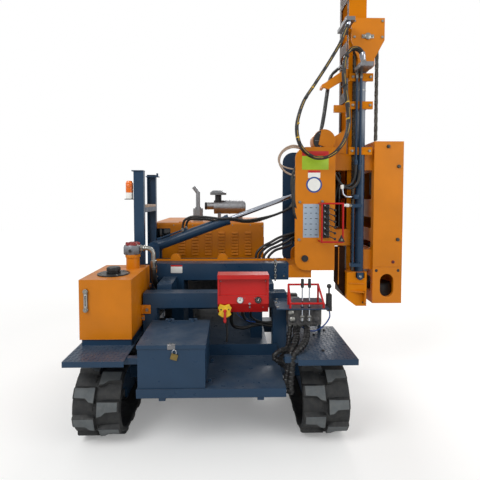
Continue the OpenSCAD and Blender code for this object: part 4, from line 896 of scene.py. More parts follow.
CAP_X, CAP_Y = -713, 425
breather = Shape(black_plastic)
cap_profile = [(0, 47), (3, 49), (12, 49), (14, 43), (17, 43), (19, 46), (38, 46), (43, 43), (44.5, 38)]
breather.turned((CAP_X, CAP_Y, 1050), UP, cap_profile, 40)
for x, y in circle(24, 46):
    breather.bar((CAP_X + x, CAP_Y + y, 1070), (CAP_X + x, CAP_Y + y, 1088), 2, 6, 0.4)
breather.piece("breather_cap", "root", "black_plastic")
bolts("breather_bolts", "root", "steel", zinc,
      [((CAP_X + x, CAP_Y + y, 1051), UP) for x, y in circle(6, 96)], 0.5)

lugs = Shape(orange_paint, zinc)
lugs.box((-541, 494, 686), (-516, 503, 724), 2)
lugs.box((-541, 496, 686), (-534, 540, 724), 2)
lugs.hexagon((-527, 494, 705), (-527, 485, 705), 17, paint=1)
lugs.box((-541, 752, 866), (-520, 761, 900), 2)
lugs.box((-541, 730, 866), (-534, 761, 900), 2)
lugs.hexagon((-529, 752, 883), (-529, 743, 883), 17, paint=1)
lugs.piece("tank_lugs", "root", "orange_paint")

# %% [markdown]
# ## Return filter
# The filter stands on the tank in an orange welded neck: a cast grey head with a port plug in front and
# a dark red lid with six lobes. It has four finishes, so this piece takes the CAD part's place.

# %% Return filter
cast_grey = metal("cast_grey", srgb(0.50, 0.51, 0.53), 0.5, grain_scale=90, grime=0.5, edge=0.002)
lid_red = paint("lid_red", srgb(0.52, 0.09, 0.10), dust=0.25)
FILTER_X, FILTER_Y = -637, 655
filter_shape = Shape(orange_paint, cast_grey, lid_red, black_plastic, zinc)
filter_shape.turned((FILTER_X, FILTER_Y, 1042), UP, [(0, 50), (84, 50), (86, 56), (109, 56)], 48)
filter_shape.box((FILTER_X - 59, FILTER_Y - 52, 1151), (FILTER_X + 59, FILTER_Y + 52, 1219), 9, paint=1)
filter_shape.turned((FILTER_X, FILTER_Y, 1148), UP, [(0, 54), (6, 56), (70, 56), (74, 53)], 40, paint=1)
filter_shape.turned((FILTER_X - 6, FILTER_Y - 50, 1183), FRONT,
                    [(0, 18), (6, 18), (7, 15), (11, 14)], 24, paint=1)
filter_shape.hexagon((FILTER_X - 6, FILTER_Y - 60, 1183), (FILTER_X - 6, FILTER_Y - 66, 1183), 20, paint=3)
filter_shape.turned((FILTER_X, FILTER_Y, 1219), UP,
                    [(0, 53), (9, 53), (12, 48), (18, 34), (24, 32), (25, 28)], 40, paint=2)
for x, y in circle(6, 45):
    filter_shape.turned((FILTER_X + x, FILTER_Y + y, 1220), UP, [(0, 11), (18, 10), (22, 7)], 14, paint=2)
for x in (-48, 48):
    filter_shape.hexagon((FILTER_X + x, FILTER_Y - 42, 1219),
                         (FILTER_X + x, FILTER_Y - 42, 1226), 13, paint=4)
filter_shape.piece("return_filter_dressed", "root", "steel", "return_filter")

# %% [markdown]
# ## Suction line
# A pale union and a plated elbow leave the filter to the right. A rubber hose is clamped on the elbow's
# end and drops behind the lower beam.

# %% Suction line
ELBOW_X = -479.7
suction = Shape(zinc, hose_rubber, chain_steel)
suction.hexagon((-577, FILTER_Y, 1195), (-556, FILTER_Y, 1195), 42)
suction.turned((-557, FILTER_Y, 1195), RIGHT, [(0, 23), (3, 25), (9, 25), (12, 22)], 28)
suction.tube(in_plane(FILTER_Y, (-547, 1195), (-522, 1194), (-497, 1183), (-482, 1160), (ELBOW_X, 1132),
                      (ELBOW_X, 1098)), 17.5, 20, 0, 8)
suction.turned((ELBOW_X, FILTER_Y, 1104), DOWN,
               [(0, 20), (4, 24), (24, 24), (28, 22), (60, 22), (64, 20)], 28)
drop = [(ELBOW_X, 0, 1048), (-482, 8, 1000), (-484, 42, 940), (-478, 92, 885),
        (-462, 130, 830), (-452, 150, 770)]
suction.tube([(x, FILTER_Y + back, z) for x, back, z in drop], 22, 16, 1)
suction.turned((ELBOW_X, FILTER_Y, 1046), DOWN, [(0, 24.5), (14, 24.5)], 24, paint=2)
suction.piece("suction_line", "root", "steel", "suction_pipe")

# %% [markdown]
# ## Toolbox
# The lid is folded from thin plate. A hasp with a brass padlock closes it in front.

# %% Toolbox
hasp = Shape(steel, zinc)
hasp.box((-266, 2, 668), (-218, 6, 700), 1.5)
hasp.box((-266, 1, 694), (-218, 26, 697.5), 1)
for x in (-252, -234):
    hasp.turned((x, 20, 697), UP, [(0, 4), (2.5, 2.5)], 12, 1)
hasp.piece("toolbox_hasp", "lid", "steel")
lock = Shape(brass, chrome)
lock.tube([(-236, 5, 640), (-236, 3.4, 656), (-232, 3.2, 664), (-224, 3.2, 667), (-216, 3.2, 664),
           (-212, 3.4, 656), (-212, 5, 640)], 2.6, 10, 1, 5)
lock.box((-246, 0.4, 604), (-203, 7.8, 642), 2.5, 0, 16)
lock.piece("toolbox_padlock", "lid", "steel")

# %% [markdown]
# ## Control box
# A folded red box under a visor. Its slanted lower front carries a pressure gauge with a white face, a
# dark hour gauge and a key, and the yellow main switch with a red handle hangs at its lower left corner.


# %% Control box
def dial(shape, x, y, z, radius, ring, face, mark):
    """A round gauge that looks forwards: a ring, a face behind it and a needle."""
    shape.turned((x, y + 14, z), FRONT, [(0, radius + 2), (11, radius + 2), (14, radius - 1),
                                         (14.2, radius - 3), (12, radius - 3.5)], 32, ring)
    shape.turned((x, y + 4, z), FRONT, [(0, radius - 3), (2.8, radius - 3.2)], 32, face)
    shape.box((x - 1, y - 0.2, z - 2), (x + 1, y + 1.4, z + radius - 8), 0.2, mark, 35, "Y")
    shape.turned((x, y + 2, z), FRONT, [(0, 3.2), (2.5, 2.6)], 12, mark)
    inner, outer = radius - 8, radius - 4.5
    for k in range(9):
        a = math.radians(-130 + 260 * k / 8)
        across, up = math.sin(a), math.cos(a)
        shape.bar((x + inner * across, y + 0.9, z + inner * up),
                  (x + outer * across, y + 0.9, z + outer * up), 0.5, 4, 0, mark)


panel = Shape(steel, white_enamel, black_plastic, chrome, dark_glass, red_paint)
dial(panel, 182, 391, 858, 22, 3, 1, 2)
dial(panel, 311, 391, 858, 22, 2, 4, 1)
panel.turned((250, 403, 832), FRONT, [(0, 8), (4, 8), (5, 6)], 20, 3)
panel.box((248.5, 388, 822), (251.5, 399, 841), 0.8, 0)
panel.turned((250, 390, 812), FRONT, [(0, 6), (1.5, 6)], 14, 0)
panel.box((246.5, 389, 797), (253.5, 390, 811), 0.3, 2)
for x, z in ((215, 872), (286, 872), (345, 806)):
    panel.turned((x, 403, z), FRONT, [(0, 3.4), (1.5, 3.4), (2.5, 2)], 12, 0)
for x in (45, 364):
    panel.turned((x, 417, 990), FRONT, [(0, 4), (2, 4), (3, 2.5)], 12, 0)
panel.piece("control_panel", "root", "steel")

switch = Shape(yellow_plastic, red_plastic, zinc, black_plastic)
switch.plate([(40, 832), (72, 822), (104, 832), (122, 804), (112, 782), (120, 756), (92, 738), (58, 738),
              (28, 758), (36, 782), (26, 806)], 384, 402, edge=3)
switch.turned((75, 384, 784), FRONT, [(0, 13), (5, 12), (8, 9)], 24, 1)
switch.plate([(69, 788), (81, 788), (86, 716), (80, 702), (70, 702), (64, 716)], 371, 379, edge=2, paint=1)
for x in (48, 102):
    switch.turned((x, 384, 796), FRONT, [(0, 5), (2, 5), (3, 3)], 14, 3)
switch.piece("main_switch", "root", "black_plastic")

leads = Shape(hose_rubber, blue_plastic)
leads.tube([(120, 480, 768), (118, 520, 700), (124, 560, 637), (150, 590, 600), (215, 600, 588),
            (297, 590, 612), (378, 575, 628), (440, 570, 634), (500, 560, 650)], 13, 12)
leads.tube([(200, 470, 764), (205, 500, 715), (235, 540, 668), (290, 560, 640), (352, 560, 630),
            (440, 556, 618), (520, 540, 640)], 11, 12)
leads.tube([(260, 470, 764), (268, 520, 700), (315, 556, 655), (380, 566, 640), (450, 560, 652)], 9, 10)
leads.tube([(160, 470, 764), (172, 500, 722), (205, 520, 690), (250, 530, 664), (300, 545, 652)], 4, 8, 1)
leads.tube([(82, 498, 745), (83, 505, 690), (86, 508, 630), (90, 500, 575), (84, 496, 520)], 8, 10)
leads.piece("box_leads", "root", "black_plastic")

# %% [markdown]
# ## Travel valve and its levers
# Two sprung spools, each with a clevis and a long chrome lever with a black grip, stand in a cast block
# under the shelf. Thick hoses in a spiral guard leave it downwards and turn in over the deck.

# %% Travel valve and its levers
valve = Shape(cast_iron, chrome, black_plastic, zinc)
valve.box((505, 282, 716), (735, 378, 833.7), 7)
for x in (560, 617, 680):
    valve.box((x - 2, 279, 720), (x + 2, 381, 829), 1)
for x, finish_no in ((535, 3), (600, 0), (648, 0), (700, 0)):
    valve.turned((x, 282, 756), FRONT, [(0, 20), (4, 20), (7, 17), (10, 13)], 24, finish_no)
for x in (525, 700):
    valve.turned((x, 283, 806), FRONT, [(0, 19), (10, 19), (15, 12)], 24, 3 if x < 600 else 0)
for x in (600, 648):
    valve.box((x - 9, 268, 745), (x - 4, 284, 790), 1.5, 3)
    valve.box((x + 4, 268, 745), (x + 9, 284, 790), 1.5, 3)
    valve.bar((x - 14, 272, 778), (x + 14, 272, 778), 9, 18, 1, 3)
    valve.bar((x - 12, 274, 754), (x + 12, 274, 754), 6, 14, 1, 3)
    valve.bar((x, 272, 748), (x, 272, 977), 4.8, 16, 1, 1)
    valve.turned((x, 272, 976), UP, [(0, 8), (3, 10.5), (12, 11), (48, 10), (56, 11), (60, 8)], 20, 2)
    valve.turned((x, 330, 722), DOWN, [(0, 17), (10, 17), (24, 15)], 20, 3)
for x in (528, 706):
    valve.hexagon((x, 330, 720), (x, 330, 694), 30, 3)
valve.piece("travel_valve_dressed", "root", "steel", "travel_valve")


def wrapped_hose(shape, points, radius):
    """A hose in a spiral guard: a plain tube with a thin strip wound round it."""
    shape.tube(points, radius * 0.80, 16)
    path = smooth_path(points, 1.8)
    side, turn, coil = (path[1] - path[0]).orthogonal().normalized(), 0.0, []
    for before, point, after in zip(path, path[1:], path[2:]):
        along = (after - before).normalized()
        side = (side - side.dot(along) * along).normalized()
        turn += 2 * math.pi * (point - before).length / (radius * 1.4)
        coil.append(point + radius * 0.84 * (math.cos(turn) * side + math.sin(turn) * along.cross(side)))
    shape.tube(coil, radius * 0.26, 6, 2, smooth=False)


guarded = Shape(hose_rubber, zinc, black_plastic)
wrapped_hose(guarded, [(562, 332, 700), (566, 318, 672), (558, 250, 646), (534, 170, 632), (508, 122, 610),
                       (496, 106, 572), (488, 104, 520), (474, 108, 456), (470, 110, 420), (484, 112, 380),
                       (492, 116, 340)], 21)
wrapped_hose(guarded, [(640, 332, 700), (642, 312, 676), (622, 230, 656), (590, 150, 640), (552, 96, 630),
                       (520, 76, 608), (504, 74, 568), (500, 76, 520), (496, 84, 453), (494, 92, 408),
                       (500, 100, 340)], 21)
wrapped_hose(guarded, [(528, 332, 700), (520, 310, 630), (496, 250, 572), (450, 205, 574), (414, 192, 560),
                       (400, 190, 538), (414, 194, 514), (450, 205, 506), (492, 196, 466), (502, 186, 400),
                       (504, 184, 340)], 17)
wrapped_hose(guarded, [(592, 338, 700), (574, 322, 650), (516, 290, 560), (478, 245, 538), (446, 226, 512),
                       (440, 224, 486), (470, 228, 462), (502, 226, 420), (506, 224, 340)], 17)
for x, r in ((562, 34), (640, 34), (528, 30), (592, 30)):
    guarded.hexagon((x, 333, 716), (x, 333, 690), r, 1)
guarded.piece("guarded_hoses", "root", "black_plastic")

throttle = Shape(blue_plastic, black_plastic)
throttle.tube([(793, 320, 815), (800, 318, 780), (797, 322, 750), (770, 326, 706), (730, 330, 672),
               (690, 336, 656), (640, 350, 664), (600, 372, 690)], 4.5, 10)
throttle.box((776.5, 296, 806), (810, 344, 836), 3, 1)
for z in (850, 880, 905):
    throttle.box((778, 297.5, z), (808, 299.8, z + 9), 1, 1)
throttle.piece("throttle_cable", "root", "black_plastic")

# %% [markdown]
# ## Signs and panels
# Sticker panels are thin plates with a printed face. They carry plain fields of colour and short rows of
# bars, no words or marks.

# %% Signs and panels
signs = Shape(green_print, red_plastic, white_enamel, blue_print, grey_print, black_plastic)
CHEEK_FACE = 862.4                          # the backs of the signs lie just inside the cheek's plate
for x0, x1, z0, z1, front, print_no in ((702, 922, 1814, 1926, 860.6, 0), (702, 922, 1926, 1966, 860.4, 1),
                                        (752, 854, 1745, 1795, 860.6, 2), (752, 854, 1789, 1807, 860.4, 1),
                                        (714, 846, 1252, 1531, 860.6, 4)):
    signs.box((x0, front, z0), (x1, CHEEK_FACE, z1), 0.6, print_no)
signs.turned((803, CHEEK_FACE, 1690), FRONT, [(0, 66), (2.2, 65.5)], 56, 3)
signs.turned((803, 861, 1690), FRONT, [(0, 53), (1.1, 52.6)], 56, 2)
for row in range(6):
    for column in range(3):
        wide = (16, 22, 12)[(row + column) % 3]
        x, z = 735 + 44 * column, 1500 - 45 * row
        signs.box((x - wide / 2, 860, z - 2.4), (x + wide / 2, 861, z + 2.4), 0.2, 5)
signs.piece("cheek_signs", "cradle", "orange_paint")
beam_sign = Shape(white_enamel, red_plastic)
beam_sign.box((-386, 888.6, 954), (-290, 890.4, 1020), 0.6, 0)
beam_sign.box((-386, 888.4, 1008), (-290, 890.4, 1022), 0.6, 1)
beam_sign.piece("beam_sign", "root", "orange_paint")

# %% [markdown]
# ## Hoses over the tilt cylinder
# Two hoses leave the port block on the barrel and run over the rod to a clamp near its eye. The barrel
# turns a little and the rod slides in it; here the run stands fixed in the scene, on no body.

# %% Hoses over the tilt cylinder
over_tilt = Shape(hose_rubber, zinc)
over_tilt.tube([(-318, 1128, 1300), (-312, 1120, 1345), (-298, 1112, 1380), (-262, 1108, 1404),
                (-210, 1106, 1416), (-98, 1104, 1410), (30, 1102, 1396), (126, 1102, 1400),
                (239, 1102, 1382), (351, 1103, 1394), (480, 1104, 1422), (560, 1106, 1450),
                (609, 1108, 1474), (655, 1110, 1502), (684, 1112, 1546), (692, 1116, 1590)], 10.5, 12)
over_tilt.tube([(-290, 1176, 1308), (-286, 1172, 1350), (-262, 1160, 1384), (-200, 1136, 1392),
                (-98, 1130, 1388), (30, 1126, 1372), (126, 1124, 1384), (239, 1124, 1366),
                (351, 1124, 1376), (480, 1124, 1418), (560, 1124, 1448), (609, 1124, 1472),
                (646, 1124, 1500), (672, 1124, 1546), (680, 1124, 1588)], 10.5, 12)
over_tilt.box((650, 1098, 1586), (712, 1140, 1604), 3, 1, -20)
over_tilt.hexagon((-318, 1130, 1284), (-318, 1127, 1312), 24, 1)
over_tilt.hexagon((-290, 1172, 1292), (-290, 1175, 1320), 24, 1)
tilt_hoses = over_tilt.piece("tilt_hoses", None, "black_plastic")
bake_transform(tilt_hoses)

# %% [markdown]
# ## Hoses into the cradle
# A bundle rises out of the frame, in front of the pivot, into the tilting cradle, and stands fixed in the
# scene, on no body. Others loop out to the left of the cheek and come back, and stay on the cradle. A web
# with an orange edge closes the cradle beside the mast; its dark brown face is painted shade.

# %% Hoses into the cradle
into_cradle = Shape(hose_rubber)
for k, (x, dz, y) in enumerate(((330, 20, 1046), (362, 2, 1062), (398, -18, 1048), (440, -42, 1064))):
    into_cradle.tube([(x, y, 985), (x + 4, y, 1030), (x + 14, y, 1090 + dz * 0.5),
                      (x + 66, y + 2, 1142 + dz * 0.6), (x + 130, y + 6, 1172 + dz * 0.8),
                      (x + 210, y + 10, 1212 + dz), (640 + 6 * k, y + 12, 1244 + dz),
                      (700, y + 14, 1262 + dz), (748, y + 16, 1290 + dz)], 11.5, 12)
pivot_hoses = into_cradle.piece("pivot_hoses", None, "black_plastic")
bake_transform(pivot_hoses)

beside = Shape(hose_rubber, pale_pad, zinc)
beside.tube([(700, 892, 1990), (664, 880, 1996), (636, 868, 1998), (606, 866, 1994), (570, 866, 1978),
             (536, 866, 1950), (518, 866, 1912), (516, 866, 1870), (532, 866, 1832), (562, 866, 1800),
             (600, 868, 1778), (640, 872, 1768), (668, 880, 1760), (704, 892, 1758)], 8, 12, 1)
beside.tube([(704, 894, 2004), (668, 882, 2010), (636, 868, 2013), (604, 866, 2008), (566, 866, 1990),
             (532, 866, 1958), (510, 866, 1916), (512, 866, 1874), (538, 866, 1846), (574, 866, 1830),
             (610, 868, 1822), (644, 880, 1818), (684, 894, 1816)], 6.5, 12, 1)
beside.tube([(690, 894, 1850), (656, 880, 1836), (634, 866, 1800), (624, 866, 1760), (618, 866, 1700),
             (622, 866, 1640), (630, 866, 1560), (636, 868, 1480), (645, 866, 1440), (668, 876, 1392),
             (706, 892, 1362)], 10.5, 12)
beside.tube([(692, 896, 1800), (660, 882, 1780), (640, 868, 1740), (634, 866, 1690), (636, 866, 1620),
             (640, 867, 1560), (652, 870, 1510), (676, 878, 1470), (706, 892, 1440)], 10.5, 12)
beside.tube([(1020, 1000, 1325), (1012, 1000, 1380), (1008, 1000, 1450), (1012, 1000, 1540),
             (1022, 1000, 1620), (1044, 996, 1700), (1052, 985, 1760), (1030, 975, 1800)], 13, 12)
beside.piece("cheek_hoses", "cradle", "black_plastic")
web = Shape(painted_shade_brown, orange_paint)
# the web's dark brown face is painted shade; its front edge is orange
web.box((990, 1196, 1314), (1107, 1204, 1814), 1)
web.box((990, 1188, 1314), (1000, 1196, 1814), 1, 1)
web.piece("cradle_web", "cradle", "orange_paint")

# %% [markdown]
# ## Hoses between cradle and mast
# The mast feeds up and down in its cradle by 300 mm, so these hoses hang in short loops between the two.
# A longer bundle climbs behind the drum to a bracket high on the mast.

# %% Hoses between cradle and mast
feed = Shape(hose_rubber, zinc, white_enamel)
feed.tube([(958, 930, 1850), (975, 912, 1806), (1000, 900, 1752), (1034, 892, 1700), (1076, 888, 1668),
           (1120, 886, 1664), (1158, 880, 1690), (1176, 876, 1732), (1184, 874, 1790), (1186, 873, 1838)],
          12.5, 12)
feed.tube([(960, 946, 1800), (990, 930, 1770), (1020, 918, 1728), (1050, 908, 1690), (1090, 902, 1680),
           (1126, 896, 1700), (1146, 884, 1750), (1152, 876, 1820), (1152, 873, 1880)], 12, 12)
feed_hoses = feed.piece("feed_hoses", None, "black_plastic")
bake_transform(feed_hoses)

climb = Shape(hose_rubber, steel)
for k in range(3):
    y = 1036 + 25 * k
    climb.tube([(868 + 16 * k, y, 1990), (872 + 8 * k, y, 2060), (884 + 6 * k, y, 2130), (912, y, 2210),
                (932, y, 2330), (948, y, 2450), (964, y - 4, 2560), (986, y - 20, 2640),
                (1030, y - 46, 2680)], 11.5, 12)
climb.tube([(1030, 1000, 2670), (1050, 988, 2700), (1080, 980, 2690)], 10, 10, 1)
climb_hoses = climb.piece("climb_hoses", None, "black_plastic")
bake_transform(climb_hoses)

# %% [markdown]
# ## Fittings along the lift cylinder
# The twin hose loop ends in pressed ferrules on a small manifold. From there two painted pipes run down
# in front of the cylinder to the clamps, and the lift cylinder has a slate gland at its top. A bracket
# on the mast's left side carries the climbing hoses.

# %% Fittings along the lift cylinder
runs = Shape(slate_paint, zinc, chrome, orange_paint, hose_rubber, white_enamel)
runs.bar((1152, 872, 1886), (1152, 872, 2616), 9, 16, 1, 0)
runs.bar((1186, 872, 1842), (1186, 872, 2616), 10, 16, 1, 0)
for x, z in ((1152, 1872), (1186, 1828)):
    runs.turned((x, 872, z - 16), UP, [(0, 14), (16, 14), (18, 16), (36, 16), (40, 11), (50, 10)], 20, 0)
for x in (1152, 1186):
    runs.turned((x, 872, 2560), UP, [(0, 12), (10, 15), (30, 15), (34, 12), (54, 12)], 6, 1)
for y in LOOP_PLANES:
    runs.turned((1153.5, y, 2724), (10.5, 0, -69),
                [(0, 15), (4, 17), (40, 17), (44, 14.5), (54, 14.5), (70, 12)], 20, 2)
    runs.hexagon((1162.5, y, 2664), (1165, y, 2648), 30, 1)
    runs.turned((1033, y, 2932), (12, 0, 30), [(0, 15), (3, 17), (24, 17), (33, 14)], 20, 2)
runs.turned((LIFT_X, LIFT_Y, 2618), UP, [(0, 38), (2, 41), (36, 41), (40, 37), (43, 33)], 40, 0)
runs.turned((LIFT_X, LIFT_Y, 2470), UP, [(0, 38.5), (8, 38.5)], 40, 1)
# the elbow pipe and the unions beside the valve guard
runs.tube([(1043, 880, 1665), (1046, 880, 1640), (1052, 880, 1612), (1072, 880, 1594), (1098, 882, 1590),
           (1136, 892, 1590), (1176, 906, 1590)], 8.5, 14, 2, 6)
runs.turned((1042, 880, 1690), (1, 0, -35), [(0, 11), (4, 14), (24, 14), (35, 11)], 6, 5)
runs.box((1140, 862, 1572), (1178, 906, 1608), 4, 0)
runs.turned((1056, 869, 1520), (63, 0, -3), [(0, 12), (14, 12), (16, 15), (40, 15), (42, 11), (63, 11)], 6, 5)
runs.turned((1096, 869, 1519), (26, 0, -2), [(0, 13), (26, 13)], 6, 1)
# bracket that carries the climbing hoses, with a flat lug at the front rail
runs.plate([(905, 2512), (945, 2500), (1110.7, 2600), (1110.7, 2668), (1078, 2668), (908, 2550)], 967,
           986, edge=2, paint=3)
runs.plate([(905, 2512), (908, 2550), (888, 2540), (886, 2516)], 967, 1060, edge=1.5, paint=3)
runs.box((990, 967, 2306), (1110.7, 988, 2368), 2, 3)
runs.piece("lift_fittings", "mast", "steel")

ties = Shape(black_plastic, hose_band)
for x, z, turn in ((707, 2366, -32), (1028, 2692, 20), (1018, 2470, -6)):
    ties.box((x - 17, 731, z - 7), (x + 17, 794, z + 7), 3, 0, turn)
for x, z in ((760, 2449), (646, 2170), (648, 2060), (1049, 2210), (1040, 2340)):
    for y in LOOP_PLANES:
        ties.turned((x, y, z - 5), UP, [(0, HOSE_RADIUS + 0.7), (10, HOSE_RADIUS + 0.7)], 20, 1)
ties.piece("loop_ties", "mast", "black_plastic")

# %% [markdown]
# ## Lift head and sheave
# The rod is hard-chromed, the sheave is turned steel with a deep groove, and its axle is kept by a plate
# with two bolts. These lie close over the CAD forms, to give them their own finish.

# %% Lift head and sheave
head = Shape(chrome, steel, zinc, orange_paint)
head.bar((LIFT_X, LIFT_Y, 1165), (LIFT_X, LIFT_Y, 2668.5), 26.6, 40, 0.5, 0)
head.turned((SHEAVE_X, 903.4, SHEAVE_Z), BACK, [(0, 106), (1, 108.6), (4.4, 108.6), (5.4, 104)], 56, 1)
head.turned((SHEAVE_X, 947.2, SHEAVE_Z), BACK, [(0, 104), (1, 108.6), (4.4, 108.6), (5.4, 106)], 56, 1)
head.turned((SHEAVE_X, 908, SHEAVE_Z), BACK, [(0, 82.6), (40, 82.6)], 56, 1)
head.turned((SHEAVE_X, 880.5, SHEAVE_Z), FRONT, [(0, 26), (6, 26), (8.5, 22)], 32, 2)
head.box((1190, 880, 2890), (1290, 886.2, 2920), 2, 2)
for x in (1202, 1278):
    head.hexagon((x, 881, SHEAVE_Z), (x, 872, SHEAVE_Z), 17, 2)
for x, z in ((1130, 3030), (1360, 3030), (1130, 2900), (1360, 2900)):
    head.hexagon((x, 886.5, z), (x, 878, z), 19, 2)
head.piece("sheave_dressed", "lift_head", "steel")

# %% [markdown]
# ## Valve bank on the cheek
# Six spools in a black block, each with a chrome boot ring and a clip, behind a red guard with a black foot.

# %% Valve bank on the cheek
bank = Shape(black_plastic, chrome, zinc)
for k in range(6):
    z = 1254 + (k + 0.5) * 46.3333
    bank.turned((881, 797, z + 8), FRONT, [(0, 6), (2, 6), (4, 3)], 14, 1)
    bank.box((872, 806.5, z - 20), (914, 810.4, z + 20), 1.5, 0)
    bank.turned((893, 800, z), FRONT, [(0, 18), (5, 16), (12, 9)], 20, 0)
    bank.hexagon((878, 810, z + 16), (878, 803, z + 16), 9, 2)
    bank.turned((919, 836, z), RIGHT, [(0, 13), (7, 13)], 6, 2)
bank.plate([(1004, 1284), (1032, 1228), (976, 1228)], 750, 766, edge=2)
bank.hexagon((1004, 751, 1246), (1004, 743, 1246), 17, 2)
bank.piece("valve_bank_details", "cradle", "black_plastic")

# %% [markdown]
# ## Inside the hammer
# Through the cut-outs in the housing the drop weight's guide shows, and in the foot's slot the dark
# cushion block that meets the pile.

# %% Inside the hammer
HAMMER_X, HAMMER_Y = 1440, 1077             # axis of the drop weight
core = Shape(cast_iron, steel, track_rubber, orange_paint, lid_red)
core.turned((HAMMER_X, HAMMER_Y, 1004), UP,
            [(0, 88), (8, 92), (180, 92), (186, 70), (600, 70), (606, 92), (800, 92),
             (806, 60), (1030, 60)], 40, 0)
core.turned((HAMMER_X, HAMMER_Y, 1600), UP, [(0, 74), (100, 74)], 40, 1)
core.turned((HAMMER_X - 3, HAMMER_Y, 712), UP, [(0, 96), (6, 104), (116, 104), (126, 94)], 44, 2)
core.box((1340, 1140, 838), (1534, 1200, 1000), 3, 3)
core.box((1352, 1060, 838), (1400, 1100, 1003), 3, 0)
core.turned((1488, 900.5, 1039), FRONT, [(0, 14), (3, 14), (4.5, 11)], 20, 4)
core.turned((1488, 896.4, 1039), FRONT, [(0, 8), (1, 8)], 16, 2)
for x in (1347, 1533):
    core.turned((x, 910, 966), FRONT, [(0, 12.6), (9, 12.6), (11.4, 10)], 24, 2)
for y in (1010, 1052):
    core.box((1312.5, y, 1018), (1316.8, y + 16, 1072), 1, 0)
core.piece("hammer_core", "hammer", "engine_iron")

# %% [markdown]
# ## Hood details
# The window in the hood's front is dark glass in a black edge. Service doors with hinges and latches
# close the sides, and behind the grille at the back stand the radiator's fins.

# %% Hood details
hood = Shape(dark_glass, black_plastic, orange_paint, zinc)
hood.box((-610, 1347, 1189), (-460, 1351, 1293), 1, 0)
for x0, x1, z0, z1 in ((-609, -461, 1192, 1197), (-609, -461, 1287, 1292),
                       (-609, -604, 1192, 1292), (-466, -461, 1192, 1292)):
    hood.box((x0, 1338, z0), (x1, 1348, z1), 1.5, 1)
for x, out in ((428, 1), (-622, -1)):
    for y0, y1 in ((1430, 1800), (1830, 2200)):
        door_low, door_high = sorted((x, x + 3 * out))
        hood.box((door_low, y0, 650), (door_high, y1, 1270), 1.4, 2)
        hinge_y, latch_y = (y0 + 12, y1 - 34) if y0 < 1800 else (y1 - 12, y0 + 34)
        for z in (760, 1160):
            hood.bar((x + 5 * out, hinge_y, z - 34), (x + 5 * out, hinge_y, z + 34), 7, 14, 1, 2)
        latch_low, latch_high = sorted((x, x + 12 * out))
        hood.box((latch_low, latch_y - 18, 930), (latch_high, latch_y + 18, 1010), 3, 1)
        hood.turned((x, latch_y, 985), (out, 0, 0), [(0, 9), (14, 9), (16, 7)], 16, 3)
for x in (-330, 150):
    hood.box((x - 60, 1400, 1344.5), (x + 60, 1412, 1352), 2, 2)
hood.piece("hood_details", "root", "orange_paint")

fin = Shape()
fin.box((-0.8, -11, -235), (0.8, 11, 235), 0)
FIN = stamp("radiator_fin", fin)
fin_spots = [((x, 2266, 940), UP, RIGHT) for x in range(-430, 240, 7)]
place_piece("radiator_fins", repeat("radiator_fins", FIN, fin_spots, cast_iron), "root", "engine_iron")
radiator = Shape(cast_iron, black_plastic)
radiator.box((-446, 2238, 690), (252, 2256, 1190), 3)
radiator.box((-446, 2250, 1180), (252, 2280, 1210), 6, 1)
radiator.box((-446, 2250, 670), (252, 2280, 700), 6, 1)
radiator.piece("radiator", "root", "engine_iron")

# %% [markdown]
# ## Air cleaner and exhaust
# A bright drum with pressed bands, a grey rain cap on a black stem, and a dark rubber ring where the
# duct ends. The silencer's stub has a clamp.

# %% Air cleaner and exhaust
grey_enamel = plain("grey_enamel", srgb(0.42, 0.44, 0.46), 0.4, 200, 0.1, dust=0.25)
intake = Shape(grey_enamel, black_plastic, zinc, bright_sheet)
intake.turned((-22, 1790, 1612), UP, [(0, 80), (2, 87), (26, 87), (30, 82), (47, 61), (48, 50)], 48, 0)
intake.turned((-22, 1790, 1546), UP, [(0, 38), (10, 38), (12, 34.8), (67, 34.8)], 36, 1)
intake.turned((-165, 1790, 1495), RIGHT, [(0, 36), (3, 40), (22, 40), (25, 38.5)], 36, 1)
intake.turned((-132, 1790, 1495), RIGHT, [(0, 39.5), (12, 39.5)], 36, 2)
for x in (-20, 100, 230):
    intake.box((x - 6, 1712, 1472), (x + 6, 1722, 1494), 1.5, 2)
intake.turned((265, 1790, 1483), RIGHT, [(0, 50), (5, 44)], 36, 1)
for z in (1380, 1440):
    intake.turned((-225, 1640, z), UP, [(0, 51.5), (12, 51.5)], 40, 2)
intake.piece("intake_details", "root", "steel")

# %% [markdown]
# ## Warning lamp and rest pad
# The lamp stands on a black foot: a white ring and a ribbed amber lens. The laid-down mast rests on a
# pale hard pad between the two uprights, and a rubber strip lies along the upper frame.


# %% Warning lamp and rest pad
LAMP_X, LAMP_Y = -703, 825
beacon = Shape(black_plastic, white_enamel, amber_lens)
beacon.box((LAMP_X - 36, LAMP_Y - 22, 1568), (-664, LAMP_Y + 22, 1574), 1.5, 0)
beacon.turned((LAMP_X, LAMP_Y, 1573.5), UP, [(0, 26), (3, 28.5), (44, 28.5), (51, 27)], 40, 1)
ribs = [(0, 28)]
for k in range(9):
    ribs += [(2 + 8.5 * k, 28), (4 + 8.5 * k, 30), (8 + 8.5 * k, 30), (10 + 8.5 * k, 28)]
beacon.turned((LAMP_X, LAMP_Y, 1624), UP, ribs + [(84, 26), (94, 21), (96, 12)], 40, 2)
beacon.turned((LAMP_X, LAMP_Y - 26, 1676), FRONT, [(0, 14), (6, 14), (8, 11)], 24, 2)
beacon.piece("beacon_dressed", "root", "lamp", "beacon")

pad = Shape(pale_pad, hose_rubber)
pad.box((-664.6, 849.6, 1502), (-583.4, 1272.4, 1523), 1.5, 0)
pad.box((-536, 1032, 1049), (560, 1068, 1052), 1, 1)
pad.piece("rest_pad", "root", "slate_paint")

# %% [markdown]
# ## Weld beads
# Plates are joined by welds with a scale-like surface. A bead is a row of low drops: the tree sets one
# every few millimetres along each seam. The last seam on the tank is a single tack at the filter's neck.


